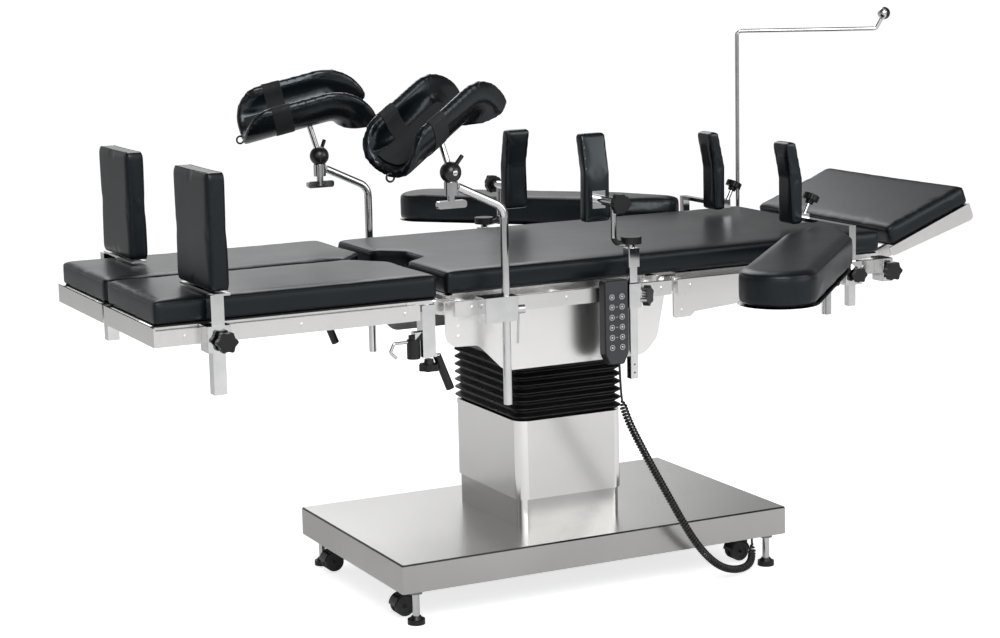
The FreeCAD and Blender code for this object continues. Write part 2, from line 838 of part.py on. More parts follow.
def leg_frame(side):
    """One leg section's beams, deck, end plate, rail and abduction pin."""
    inset = leg_half_width - 291
    x0 = leg_foot_x
    rail_end = -399.0
    y_in = leg_split + 8
    pieces = [
        slab(leg_outline(inset, 4), "xy", deck_low, deck_thick),
        block(x0, rail_end - 6, 270, 288, beam_bottom + 6, deck_low),
        block(x0, leg_seat_x - leg_corner_x - 30, y_in, y_in + 18, beam_bottom + 10, deck_low),
        block(x0 - 3, x0, leg_split + 1, rail_out, rail_low, deck_low + 1),
        block(-640, -626, y_in, 288, 606, deck_low),
        block(rail_end - 20, rail_end - 6, 60, 288, 606, deck_low),
        rail(x0 - 1, rail_end, 1),
    ]
    pieces += rail_spacers((-850, -630, -426), 287, 1)
    x, y = leg_pivot_x, leg_pivot_y
    pieces.append(block(rail_end - 20, x + 10, y - 13, y + 8, 625, deck_low + 1))
    pieces.append(bar((x, y, 545), (x, y, 626), 8))
    return mirrored(joined(pieces), side)


def leg_pad(side):
    pad = slab(leg_outline(0, 10), "xy", pad_low, pad_thick)
    return mirrored(softened(pad, pad_edge_r, on_level(table_top)), side)


# Rail clamps

def clamp_body(x, half, hole_x, hole_r=None, hole_size=None, side=1.0):
    """A block hooked over the rail, with an upright hole outside it."""
    hook = rail_in - 3.0
    body = block(x - half, x + half, hook, clamp_out, clamp_low, clamp_high)
    body = softened(body, 2, lambda e: e.BoundBox.ZLength > 20)
    gap = 0.3
    body = body.cut(block(x - half - 1, x + half + 1, rail_in - gap, rail_out + gap,
                          rail_low - gap, rail_high + gap))
    body = body.cut(block(x - half - 1, x + half + 1, hook - 1, rail_in + 4, clamp_low - 1,
                          rail_low + 8))
    if hole_r:
        body = body.cut(bar((hole_x, clamp_y, 500), (hole_x, clamp_y, 700), hole_r + running_fit))
    if hole_size:
        h = hole_size / 2 + rest_gap
        body = body.cut(block(hole_x - h, hole_x + h, clamp_y - h, clamp_y + h, 500, 700))
    return mirrored(body, side)


def clamp_knob(x, z, side, r=knob_r):
    """The star knob on a clamp's outer face."""
    return star_knob((x, side * (clamp_out + knob_hub * r + 0.2), z), (0, side, 0), r)


def foot_clamp(side):
    """The clamp that holds one foot board on the leg section's rail."""
    body = clamp_body(foot_post_x, clamp_half, foot_post_x, hole_size=foot_post_size, side=side)
    return group([body, clamp_knob(foot_post_x + 8, 604, side)])


def foot_post(side):
    """The square post of a foot board with the strip that its pad stands on."""
    h = foot_post_size / 2
    x = foot_post_x
    post = block(x - h, x + h, clamp_y - h, clamp_y + h, foot_post_low, foot_board_low - 2)
    front = x - 8
    strip = block(front + 3, front + foot_board_thick - 3, foot_board_in + 10, clamp_y + h,
                  foot_board_low - 4, foot_board_low)
    return mirrored(joined([post, strip]), side)


def foot_pad(side):
    x0 = foot_post_x - 8
    plan = [
        (foot_board_in, foot_board_low + rest_gap, 8), (foot_board_out, foot_board_low + rest_gap, 8),
        (foot_board_out, foot_board_top, 10), (foot_board_in, foot_board_top, 10),
    ]
    pad = slab(plan, "yz", x0, foot_board_thick)
    return mirrored(softened(pad, 5, lambda e: e.BoundBox.XLength < 0.01), side)


def seat_clamps():
    """The clamps on the seat's rails: one for each leg holder and lateral support."""
    solids = []
    for s in (-1, 1):
        x = holder_x - 15
        body = clamp_body(x, 34, holder_x, hole_r=holder_rod_r, side=s)
        y = s * clamp_y
        boss = bar((x + 33, y, 604), (x + 52, y, 604), 9)
        boss = boss.cut(bar((x + 46, y, 604), (x + 60, y, 604), 4))
        lever = bar((x + 41, y, 604), (x + 36, y + s * 4, 540), 2.2)
        solids.append(joined([body, boss, lever]))
        support = clamp_body(lateral_x, 13, lateral_x, hole_size=lateral_post_size, side=s)
        screw = bar((lateral_x + 12, s * clamp_y, 606), (lateral_x + 17, s * clamp_y, 606), 6)
        support = joined([support, screw])
        knob = star_knob((lateral_x + 25, s * (clamp_y + 4), 606), (0.8, s, 0))
        solids += [support, knob.cut(support)]
    return group(solids)


def back_clamps():
    """The clamps on the back's rails: shoulder supports, arm boards and screen."""
    solids = []
    for s in (-1, 1):
        solids.append(clamp_body(shoulder_x, 20, shoulder_x, hole_size=shoulder_bar, side=s))
        solids.append(clamp_knob(shoulder_x + 4, 606, s, 16))
        solids.append(clamp_body(arm_board_x, 20, arm_board_x, hole_r=arm_post_r, side=s))
        solids.append(clamp_knob(arm_board_x, 604, s, 16))
        spare = clamp_body(628, 12, 628, side=s)
        solids.append(spare)
        solids.append(clamp_knob(628, 608, s))
    far = clamp_body(660, 16, 660, side=1.0)
    socket = block(675, 698, clamp_y - 10, clamp_y + 10, 590, 628)
    far = joined([far, socket])
    far = far.cut(bar((screen_x, clamp_y, 500), (screen_x, clamp_y, 700), screen_rod_r + running_fit))
    solids.append(far)
    return group(solids)


# Leg holders

# How each knee rest is set: its ball's height, its stem, and its angles in degrees.
knee_rest = {
    "left": {"ball_z": 870.0, "stem": (-13, -20, 68), "pitch": 28.0, "turn": -22.0, "roll": -6.0},
    "right": {"ball_z": 850.0, "stem": (-22, 0, 71), "pitch": 13.0, "turn": -16.0, "roll": 21.0},
}


def holder_rod(name):
    """The bent rod of a leg holder with its collar and wing knob."""
    side = sides[name]
    ball_z = knee_rest[name]["ball_z"]
    y = clamp_y
    rod = bent_bar([
        (holder_x, y, 425), (holder_x, y, ball_z - 72), (holder_ball_x + 14, y, ball_z - 28),
    ], holder_rod_r, 30)
    collar = bar((holder_ball_x, y, ball_z - 42), (holder_ball_x, y, ball_z - 18), 13)
    hub = bar((holder_ball_x, y, ball_z - 62), (holder_ball_x, y, ball_z - 42), 7)
    seat = Part.makeCone(13, 9, 6, Vector(holder_ball_x, y, ball_z - 18))
    wing = block(holder_ball_x - 29, holder_ball_x + 29, y - 6, y + 6, ball_z - 66, ball_z - 52)
    wing = softened(wing, 5, lambda e: e.BoundBox.YLength > 10)
    metal = joined([rod, collar, seat])
    ball_space = Part.makeSphere(holder_ball_r + 0.3, Vector(holder_ball_x, y, ball_z))
    metal = metal.cut(ball_space)
    knob = joined([hub, wing])
    return mirrored(group([metal, knob]), side)


def channel_section():
    """The U-shaped section of a knee rest in the yz plane, with rounded rims."""
    out, inside, top = rest_out_r, rest_in_r, rest_wall
    half = (out - inside) / 2

    def arc(*points):
        return Part.Arc(*[Vector(0, y, z) for y, z in points]).toShape()

    def line(*points):
        return Part.LineSegment(*[Vector(0, y, z) for y, z in points]).toShape()

    return Part.Face(Part.Wire([
        arc((-out, 0), (0, -out), (out, 0)),
        line((out, 0), (out, top)),
        arc((out, top), (out - half, top + half), (inside, top)),
        line((inside, top), (inside, 0)),
        arc((inside, 0), (0, -inside), (-inside, 0)),
        line((-inside, 0), (-inside, top)),
        arc((-inside, top), (half - out, top + half), (-out, top)),
        line((-out, top), (-out, 0)),
    ]))


def channel():
    """A knee rest's padded channel: straight for the calf, then bent down over the knee.

    The bend starts at the origin, on the axis of the round floor."""
    section = channel_section()
    calf = section.extrude(Vector(-rest_calf - 2, 0, 0))
    knee = section.revolve(Vector(0, 0, -rest_knee_r), Vector(0, 1, 0), 90)
    top = rest_wall + (rest_out_r - rest_in_r) / 2 + 1
    front = rest_knee_r + top
    low = 0.5 - rest_knee_r
    side_view = [
        (-rest_calf, low), (-rest_calf, top, rest_toe_r), (front, top), (front, low, rest_corner_r),
    ]
    width = 2 * rest_out_r + 2
    return joined([calf, knee]).common(slab(side_view, "xz", -width / 2, width))


def trough(name):
    """The padded knee rest with its stem, its ball, the ball's screw and its locking stub."""
    rest = knee_rest[name]
    ball = Vector(holder_ball_x, clamp_y, rest["ball_z"])
    stem_top = ball + Vector(*rest["stem"])
    metal = [
        Part.makeSphere(holder_ball_r, ball),
        bar(tuple(ball), tuple(stem_top), 6),
        bar(tuple(ball), (ball.x, ball.y + holder_ball_r + 1.5, ball.z), 5),
        bar(tuple(ball), (ball.x + 18, ball.y + 14, ball.z + 31), 4),
    ]
    turned = (FreeCAD.Rotation(Vector(0, 0, 1), rest["turn"])
              * FreeCAD.Rotation(Vector(0, -1, 0), rest["pitch"])
              * FreeCAD.Rotation(Vector(1, 0, 0), rest["roll"]))
    under = turned.multVec(Vector(-rest_stem_back, 0, 4 - rest_out_r))
    shell = channel()
    shell.Placement = FreeCAD.Placement(stem_top - under, turned)
    return mirrored(group([joined(metal + [shell])]), sides[name])


# Lateral supports

lateral_pad_z = {"left": 745.0, "right": 716.0}
lateral_lean = {"left": -1.0, "right": 1.0}


def lateral_post(name):
    """The drilled square post of a lateral support with its head block."""
    side = sides[name]
    h = lateral_post_size / 2
    x = lateral_x
    drop = lateral_pad_z["left"] - lateral_pad_z[name]
    post = block(x - h, x + h, clamp_y - h, clamp_y + h, 446, 666 - drop)
    head = softened(block(x - 12, x + 12, clamp_y - 12, clamp_y + 12, 664 - drop, 700 - drop), 2,
                    lambda e: e.BoundBox.ZLength > 20)
    pieces = joined([post, head])
    for z in (458, 474):
        pieces = pieces.cut(bar((x, clamp_y - 20, z), (x, clamp_y + 20, z), 2))
    crank_way = bar((x, clamp_y, 682 - drop), (x, clamp_y, 702 - drop), 7 + running_fit)
    return mirrored(pieces.cut(crank_way), side)


def lateral_arm(name):
    """The cranked rod with its lock knob, the pad's shaft, plate and wing knob."""
    side = sides[name]
    x = lateral_x
    low = lateral_pad_z[name]
    drop = lateral_pad_z["left"] - low
    dx = lateral_lean[name] * lateral_crank
    joint_z = low + 45
    neck_z = 708 - drop
    spigot = bar((x, clamp_y, 683 - drop), (x, clamp_y, neck_z), 7)
    disc = bar((x, clamp_y, neck_z), (x, clamp_y, neck_z + 14), 20)
    crank = bent_bar([
        (x, clamp_y, neck_z - 1), (x + dx, clamp_y, neck_z + 4), (x + dx, clamp_y, joint_z),
    ], lateral_rod_r, 14)
    cross = bar((x + dx, clamp_y + 12, joint_z), (x + dx, 266, joint_z), 9)
    plate = block(x + dx - 14, x + dx + 14, 262.3, 266, joint_z - 17, joint_z + 17)
    metal = joined([spigot, crank, cross, plate]).cut(disc)
    wing = star_knob((x + dx, clamp_y + 21.5, joint_z), (0, 1, 0), 21, 3)
    return mirrored(group([metal, disc, wing]), side)


def support_pad():
    """A straight-sided pad whose upper part leans forward, its back at y = 0."""
    t = support_pad_thick
    h = support_pad_height
    lean = 16.0
    knee = 0.56 * h
    profile = [
        (0, 0, 6), (0, knee, 40), (-lean, h, 9), (-lean - t, h, 9), (-t - 1, knee, 40), (-t, 0, 6),
    ]
    pad = slab(profile, "yz", -support_pad_width / 2, support_pad_width)
    return softened(pad, 4, lambda e: e.BoundBox.XLength < 0.01)


def lateral_pad(name):
    side = sides[name]
    pad = support_pad()
    dx = lateral_lean[name] * lateral_crank
    pad.translate(Vector(lateral_x + dx, 262, lateral_pad_z[name]))
    return mirrored(pad, side)


# Shoulder supports

shoulder_pad_low = 692.0


def shoulder_arm(name):
    """The bar over the table's edge, with the pad's bracket and wing knob."""
    side = sides[name]
    h = shoulder_bar / 2
    x = shoulder_x
    post = block(x - h, x + h, clamp_y - h, clamp_y + h, 541, 704)
    flat = slab([
        (x - h, clamp_y + h, 6), (x + h, clamp_y + h, 6), (x + h, shoulder_pad_y + 14),
        (x - h, shoulder_pad_y + 14),
    ], "xy", 696, 8)
    boss = block(531, x + 8, shoulder_pad_y - 9, shoulder_pad_y + 15, 694, 712)
    plate = block(529.3, 533, shoulder_pad_y - 14, shoulder_pad_y + 14, 694, 730)
    stem = bar((x + 2, shoulder_pad_y, 702), (x + 17, shoulder_pad_y, 732), 4)
    metal = joined([post, flat, boss, plate, stem])
    wing = star_knob((x + 20, shoulder_pad_y, 738), (0.45, 0, 0.9), 19, 3)
    wing = wing.cut(metal)
    return mirrored(group([metal, wing]), side)


def shoulder_pad(name):
    side = sides[name]
    pad = support_pad()
    pad.rotate(Vector(0, 0, 0), Vector(0, 0, 1), -90)
    pad = pad.mirror(Vector(0, 0, 0), Vector(1, 0, 0))
    if pad.BoundBox.XMax > 1:
        pad = pad.mirror(Vector(0, 0, 0), Vector(1, 0, 0))
    pad.translate(Vector(529, shoulder_pad_y, shoulder_pad_low))
    return mirrored(pad, side)


# Arm boards

def arm_board(name):
    """A long rounded arm pad on its plate and post."""
    side = sides[name]
    w = arm_board_width / 2
    plan = [
        (-38, -22, 20), (-38, 22, 20), (120, w, 60), (arm_board_length, w, w - 1),
        (arm_board_length, -w, w - 1), (120, -w, 60),
    ]
    pad = slab(plan, "xy", arm_board_low, arm_board_top - arm_board_low)
    pad = softened(pad, 12, on_level(arm_board_top))
    tray = slab([(-24, -16, 8), (-24, 16, 8), (300, 40, 10), (300, -40, 10)], "xy", arm_board_low - 5, 5.5)
    post = bar((0, 0, 529), (0, 0, arm_board_low - 4), arm_post_r)
    collar = bar((0, 0, clamp_high + 0.5), (0, 0, arm_board_low - 4), 15)
    board = joined([pad, tray, post, collar])
    board.rotate(Vector(0, 0, 0), Vector(0, 0, 1), 180 - arm_board_swing)
    board.translate(Vector(arm_board_x, clamp_y, 0))
    return mirrored(group([board]), side)


# Screen, handset and cord

def screen_rod():
    """The anaesthesia screen's rod, ending in a small ball."""
    top = 1068.0
    along, across = 265.0, -163.0
    end = (screen_x + along, clamp_y + across, top)
    tip = (end[0] + 12, end[1] - 7, top + 26)
    points = [(screen_x, clamp_y, 560), (screen_x, clamp_y, top), end, tip]
    rod = bent_bar(points, screen_rod_r, 9)
    ball = Part.makeSphere(14, Vector(tip[0] + 3, tip[1] - 2, tip[2] + 8))
    return joined([rod, ball])


def handset():
    """The membrane hand control, hung on the seat's rail by its hook."""
    front = -334.0
    back = front + handset_thick
    x = handset_x
    w = handset_width / 2
    face = [
        (x - w, handset_top, 6), (x - w, handset_low + 22, 8), (x - 16, handset_low, 6),
        (x + 16, handset_low, 6), (x + w, handset_low + 22, 8), (x + w, handset_top, 6),
    ]
    body = slab(face, "xz", front, handset_thick)
    body = softened(body, 3, lambda e: abs(e.BoundBox.YMin - front) < 1e-4 and e.BoundBox.YLength < 0.01)
    neck = block(x - 10, x + 10, back - 1, -rail_in + 4, rail_high + 0.5, rail_high + 4.5)
    lip = block(x - 10, x + 10, -rail_in + 0.5, -rail_in + 4, rail_high - 12, rail_high + 4.5)
    rib = block(x - 10, x + 10, back - 1, -rail_out - 0.5, 560, rail_high + 4.5)
    keys = []
    for row in range(key_rows):
        z = handset_top - key_first - row * key_pitch
        for middle in (x - key_apart / 2, x + key_apart / 2):
            keys.append(bar((middle, front - key_raise, z), (middle, front + 1, z), key_r))
    return joined([body, neck, lip, rib] + keys)


cord_points = [
    (8, -325, 477), (9, -326, 440), (12, -326, 400), (27, -326, 360), (46, -326, 323),
    (78, -325, 265), (117, -323, 198), (162, -319, 122), (200, -314, 72), (244, -304, 34),
    (292, -290, 16), (340, -268, 15), (364, -238, 36), (366, -232, 70),
]


def handset_cord():
    """The cord from the handset down to its gland under the base."""
    stops = [Vector(*p) for p in cord_points]
    edges = []
    radii = []
    last = stops[0]
    for i in range(1, len(stops) - 1):
        before = stops[i - 1] - stops[i]
        after = stops[i + 1] - stops[i]
        shorter = min(before.Length, after.Length)
        turn = math.pi - before.getAngle(after)
        r = 0.45 * shorter / math.tan(turn / 2.0)
        radii.append(round(r, 1))
        before.normalize()
        after.normalize()
        start = stops[i] + before * (0.45 * shorter)
        end = stops[i] + after * (0.45 * shorter)
        half = (math.pi - turn) / 2.0
        middle = stops[i] + (before + after).normalize() * (r / math.sin(half) - r)
        edges.append(Part.LineSegment(last, start).toShape())
        edges.append(Part.Arc(start, middle, end).toShape())
        last = end
    edges.append(Part.LineSegment(last, stops[-1]).toShape())
    path = Part.Wire(edges)
    section = Part.Wire([Part.Circle(stops[0], stops[1] - stops[0], cord_r).toShape()])
    tube = path.makePipeShell([section], True, False)
    wanted = math.pi * cord_r ** 2 * path.Length
    print("cord radii", radii, "length", round(path.Length, 1), "volume ratio", round(tube.Volume / wanted, 4))
    return tube


def build():
    """Every node of the table by name."""
    nodes = {
        "base_cover": base_cover(),
        "base_chassis": base_chassis(),
        "power_unit": power_unit(),
        "brake_feet": brake_feet(),
        "mast_outer": mast_outer(),
        "mast_middle": mast_middle(),
        "column_lower_cover": column_lower_cover(),
        "column_upper_cover": column_upper_cover(),
        "bellows": bellows(),
        "tilt_pedestal": tilt_pedestal(),
        "tilt_yoke": tilt_yoke(),
        "seat_frame": seat_frame(),
        "side_covers": side_covers(),
        "seat_pad": seat_pad(),
        "pad_bend": pad_bend(),
        "seat_clamps": seat_clamps(),
        "back_frame": back_frame(),
        "back_pad": back_pad(),
        "back_clamps": back_clamps(),
        "head_frame": head_frame(),
        "head_pad": head_pad(),
        "screen_rod": screen_rod(),
        "handset": handset(),
        "handset_cord": handset_cord(),
    }
    castor_names = ["foot_left", "foot_right", "head_left", "head_right"]
    for name, (x, y) in zip(castor_names, castor_places()):
        nodes["castor_fork_" + name] = castor_fork(x, y)
        nodes["castor_wheel_" + name] = castor_wheel(x, y)
    for name, side in sides.items():
        nodes["leg_bracket_" + name] = leg_bracket(side)
        nodes["leg_frame_" + name] = leg_frame(side)
        nodes["leg_pad_" + name] = leg_pad(side)
        nodes["foot_clamp_" + name] = foot_clamp(side)
        nodes["foot_post_" + name] = foot_post(side)
        nodes["foot_pad_" + name] = foot_pad(side)
        nodes["holder_rod_" + name] = holder_rod(name)
        nodes["trough_" + name] = trough(name)
        nodes["lateral_post_" + name] = lateral_post(name)
        nodes["lateral_arm_" + name] = lateral_arm(name)
        nodes["lateral_pad_" + name] = lateral_pad(name)
        nodes["shoulder_arm_" + name] = shoulder_arm(name)
        nodes["shoulder_pad_" + name] = shoulder_pad(name)
        nodes["arm_board_" + name] = arm_board(name)
    return nodes


os.makedirs("parts", exist_ok=True)
for node_name, shape in build().items():
    shape.exportStep("parts/" + node_name + ".step")
    if not shape.isValid():
        print("not valid:", node_name)
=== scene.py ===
import bpy
import math
from mathutils import Matrix, Vector


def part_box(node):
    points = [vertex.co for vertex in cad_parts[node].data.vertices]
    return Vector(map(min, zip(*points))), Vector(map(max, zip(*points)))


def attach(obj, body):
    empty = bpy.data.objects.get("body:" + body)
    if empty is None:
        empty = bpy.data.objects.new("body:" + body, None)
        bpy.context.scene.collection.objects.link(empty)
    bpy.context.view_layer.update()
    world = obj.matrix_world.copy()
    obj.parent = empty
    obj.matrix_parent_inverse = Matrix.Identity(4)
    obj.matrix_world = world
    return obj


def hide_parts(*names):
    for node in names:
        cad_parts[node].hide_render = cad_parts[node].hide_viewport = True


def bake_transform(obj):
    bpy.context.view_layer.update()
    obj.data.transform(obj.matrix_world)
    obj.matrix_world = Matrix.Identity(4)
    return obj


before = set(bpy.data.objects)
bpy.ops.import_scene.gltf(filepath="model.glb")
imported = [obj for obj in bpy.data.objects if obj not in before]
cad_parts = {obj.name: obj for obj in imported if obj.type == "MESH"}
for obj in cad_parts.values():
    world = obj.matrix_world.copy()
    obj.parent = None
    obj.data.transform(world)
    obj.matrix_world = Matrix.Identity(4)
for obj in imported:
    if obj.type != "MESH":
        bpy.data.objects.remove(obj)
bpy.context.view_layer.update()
sides = {"left": -1.0, "right": 1.0}


# helpers

def deselect():
    if bpy.context.object and bpy.context.object.mode != "OBJECT":
        bpy.ops.object.mode_set(mode="OBJECT")
    for obj in bpy.context.selected_objects:
        obj.select_set(False)


def pick(*objs):
    deselect()
    for obj in objs:
        obj.select_set(True)
    bpy.context.view_layer.objects.active = objs[0]
    return objs[0]


def settle(obj, name=None):
    pick(obj)
    bpy.ops.object.transform_apply(location=True, rotation=True, scale=True)
    if name:
        obj.name = name
        obj.data.name = name
    return obj


def finishWith(obj, kind, **values):
    pick(obj)
    modifier = obj.modifiers.new(kind.title(), kind)
    for key, value in values.items():
        setattr(modifier, key, value)
    bpy.ops.object.modifier_apply(modifier=modifier.name)
    return obj


def rounded(obj, width, segments=3, angle=35):
    return finishWith(obj, "BEVEL", width=width, segments=segments, limit_method="ANGLE",
                      angle_limit=math.radians(angle), harden_normals=False)


def softShade(obj, angle=35):
    pick(obj)
    bpy.ops.object.shade_smooth_by_angle(angle=math.radians(angle))
    return obj


def joinAll(objs, name):
    pick(*objs)
    if len(objs) > 1:
        bpy.ops.object.join()
    objs[0].name = name
    objs[0].data.name = name
    return objs[0]


def cylinder(name, start, end, radius, sidesCount=32):
    start, end = Vector(start), Vector(end)
    deselect()
    bpy.ops.mesh.primitive_cylinder_add(vertices=sidesCount, radius=radius, depth=(end - start).length)
    obj = bpy.context.object
    obj.rotation_euler = (end - start).to_track_quat("Z", "Y").to_euler()
    obj.location = (start + end) / 2
    return settle(obj, name)


def box(name, low, high):
    low, high = Vector(low), Vector(high)
    deselect()
    bpy.ops.mesh.primitive_cube_add(size=1, location=(low + high) / 2)
    obj = bpy.context.object
    obj.scale = high - low
    return settle(obj, name)


def copyNode(name, *nodes):
    copies = []
    for node in nodes:
        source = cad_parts[node]
        copy = source.copy()
        copy.data = source.data.copy()
        copy.parent = None
        copy.matrix_world = Matrix.Identity(4)
        for key in list(copy.keys()):
            del copy[key]
        copy.data.materials.clear()
        bpy.context.scene.collection.objects.link(copy)
        copy.hide_viewport = copy.hide_render = False
        copy.hide_set(False)
        copies.append(copy)
    obj = joinAll(copies, name)
    bpy.ops.object.mode_set(mode="EDIT")
    bpy.ops.mesh.select_all(action="SELECT")
    bpy.ops.mesh.remove_doubles(threshold=0.00002)
    bpy.ops.object.mode_set(mode="OBJECT")
    return obj


def keepPoints(obj, test, close=True):
    pick(obj)
    bpy.ops.object.mode_set(mode="EDIT")
    bpy.ops.mesh.select_mode(type="VERT")
    bpy.ops.mesh.select_all(action="DESELECT")
    bpy.ops.object.mode_set(mode="OBJECT")
    for vertex in obj.data.vertices:
        vertex.select = not test(vertex.co)
    bpy.ops.object.mode_set(mode="EDIT")
    bpy.ops.mesh.delete(type="VERT")
    if close:
        bpy.ops.mesh.select_all(action="SELECT")
        bpy.ops.mesh.fill_holes(sides=0)
    bpy.ops.object.mode_set(mode="OBJECT")
    return obj


def cutAway(obj, spot, normal):
    pick(obj)
    bpy.ops.object.mode_set(mode="EDIT")
    bpy.ops.mesh.select_all(action="SELECT")
    bpy.ops.mesh.bisect(plane_co=spot, plane_no=normal, clear_outer=True)
    bpy.ops.object.mode_set(mode="OBJECT")
    return obj


def duplicate(obj, name):
    copy = obj.copy()
    copy.data = obj.data.copy()
    copy.name = name
    copy.data.name = name
    for key in list(copy.keys()):
        del copy[key]
    bpy.context.scene.collection.objects.link(copy)
    return copy


def dress(obj, material, body, slotName, *nodes):
    obj.data.materials.clear()
    obj.data.materials.append(material)
    if body:
        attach(obj, body)
    if nodes:
        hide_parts(*nodes)
    return obj


# materials

def newMaterial(name):
    material = bpy.data.materials.new(name)
    material.use_nodes = True
    nodes = material.node_tree.nodes
    return material, nodes, material.node_tree.links, nodes["Principled BSDF"]


def noiseOn(nodes, links, scale, stretch=(1, 1, 1), detail=3.0):
    place = nodes.new("ShaderNodeTexCoord")
    turn = nodes.new("ShaderNodeMapping")
    turn.inputs["Scale"].default_value = stretch
    noise = nodes.new("ShaderNodeTexNoise")
    noise.inputs["Scale"].default_value = scale
    noise.inputs["Detail"].default_value = detail
    links.new(place.outputs["Object"], turn.inputs["Vector"])
    links.new(turn.outputs["Vector"], noise.inputs["Vector"])
    return noise


def spread(nodes, links, source, low, high, socket):
    ramp = nodes.new("ShaderNodeMapRange")
    ramp.inputs["From Min"].default_value = 0.3
    ramp.inputs["From Max"].default_value = 0.7
    ramp.inputs["To Min"].default_value = low
    ramp.inputs["To Max"].default_value = high
    links.new(source.outputs["Fac"], ramp.inputs["Value"])
    links.new(ramp.outputs["Result"], socket)


def bumpFrom(nodes, links, source, shader, strength, distance):
    bump = nodes.new("ShaderNodeBump")
    bump.inputs["Strength"].default_value = strength
    bump.inputs["Distance"].default_value = distance
    links.new(source.outputs[0], bump.inputs["Height"])
    links.new(bump.outputs["Normal"], shader.inputs["Normal"])
    return bump


def tint(nodes, links, source, dark, light, socket):
    ramp = nodes.new("ShaderNodeValToRGB")
    ramp.color_ramp.elements[0].position = 0.35
    ramp.color_ramp.elements[1].position = 0.65
    ramp.color_ramp.elements[0].color = (*dark, 1)
    ramp.color_ramp.elements[1].color = (*light, 1)
    links.new(source.outputs["Fac"], ramp.inputs["Fac"])
    links.new(ramp.outputs["Color"], socket)


def brushedSteel(name, stretch, settings):
    material, nodes, links, shader = newMaterial(name)
    shader.inputs["Metallic"].default_value = 1.0
    grain = noiseOn(nodes, links, settings["grain"], stretch, 4.0)
    cloud = noiseOn(nodes, links, settings["cloud"])
    tint(nodes, links, cloud, settings["dark"], settings["light"], shader.inputs["Base Color"])
    spread(nodes, links, grain, settings["smooth"], settings["rough"], shader.inputs["Roughness"])
    bumpFrom(nodes, links, grain, shader, settings["bump"], settings["depth"])
    return material


def chromed(name):
    settings = {"smear": 35.0, "dark": (0.66, 0.665, 0.67), "light": (0.74, 0.74, 0.74),
                "rough": (0.07, 0.12)}
    material, nodes, links, shader = newMaterial(name)
    shader.inputs["Metallic"].default_value = 1.0
    smear = noiseOn(nodes, links, settings["smear"])
    tint(nodes, links, smear, settings["dark"], settings["light"], shader.inputs["Base Color"])
    spread(nodes, links, smear, *settings["rough"], shader.inputs["Roughness"])
    return material


def upholsteryHide(name, rough, level):
    settings = {"dark": (0.0036, 0.0048, 0.0062), "light": (0.0056, 0.0072, 0.0090), "cloud": 5.0,
                "mirrored": (0.84, 0.94, 1.0, 1.0), "grain": 900.0, "bump": 0.08, "depth": 0.0003}
    material, nodes, links, shader = newMaterial(name)
    cloud = noiseOn(nodes, links, settings["cloud"])
    tint(nodes, links, cloud, settings["dark"], settings["light"], shader.inputs["Base Color"])
    spread(nodes, links, cloud, *rough, shader.inputs["Roughness"])
    shader.inputs["Specular IOR Level"].default_value = level
    shader.inputs["Specular Tint"].default_value = settings["mirrored"]
    grain = noiseOn(nodes, links, settings["grain"], detail=2.0)
    bumpFrom(nodes, links, grain, shader, settings["bump"], settings["depth"])
    return material


def mouldedBlack(name, colour, rough, grain, bump, level=0.5):
    settings = {"lighter": 1.5, "cloud": 20.0, "smoother": 0.06, "rougher": 0.08, "depth": 0.0002}
    material, nodes, links, shader = newMaterial(name)
    speck = noiseOn(nodes, links, grain)
    lighter = tuple(c * settings["lighter"] for c in colour)
    tint(nodes, links, speck, colour, lighter, shader.inputs["Base Color"])
    cloud = noiseOn(nodes, links, settings["cloud"])
    spread(nodes, links, cloud, rough - settings["smoother"], rough + settings["rougher"],
           shader.inputs["Roughness"])
    shader.inputs["Specular IOR Level"].default_value = level
    bumpFrom(nodes, links, speck, shader, bump, settings["depth"])
    return material


def enamel(name, colour):
    settings = {"peel": 180.0, "cloud": 8.0, "lighter": 1.15, "rough": (0.35, 0.45), "bump": 0.05,
                "depth": 0.0002}
    material, nodes, links, shader = newMaterial(name)
    peel = noiseOn(nodes, links, settings["peel"])
    lighter = tuple(c * settings["lighter"] for c in colour)
    cloud = noiseOn(nodes, links, settings["cloud"])
    tint(nodes, links, cloud, colour, lighter, shader.inputs["Base Color"])
    spread(nodes, links, peel, *settings["rough"], shader.inputs["Roughness"])
    bumpFrom(nodes, links, peel, shader, settings["bump"], settings["depth"])
    return material


# one brushed finish in several tints, with the grain along the table or upright: the lighter tint is
# painted light, the darker tint painted shade, the corner tint a painted highlight and the edge tint a
# painted dark reflection
alongGrain = (0.4, 14, 14)
uprightGrain = (14, 14, 0.4)
steelFinish = {"grain": 60.0, "cloud": 6.0, "dark": (0.76, 0.755, 0.745), "light": (0.80, 0.795, 0.785),
               "smooth": 0.25, "rough": 0.27, "bump": 0.002, "depth": 0.0002}
# painted light: a lighter copy of the steel for the brighter reflections on the side covers and on the base
# cover above its skirt
paintedLightFinish = {**steelFinish, "dark": (0.90, 0.895, 0.885), "light": (0.94, 0.935, 0.925)}
# painted shade: a darker copy of the steel for the base skirt and the lower column cover
paintedShadeFinish = {**steelFinish, "dark": (0.50, 0.495, 0.485), "light": (0.54, 0.535, 0.525)}
# painted highlight: a brighter, smoother copy of the steel for the rounded corners of the column covers
paintedHighlightFinish = {**paintedLightFinish, "smooth": 0.11, "rough": 0.15, "bump": 0.003}
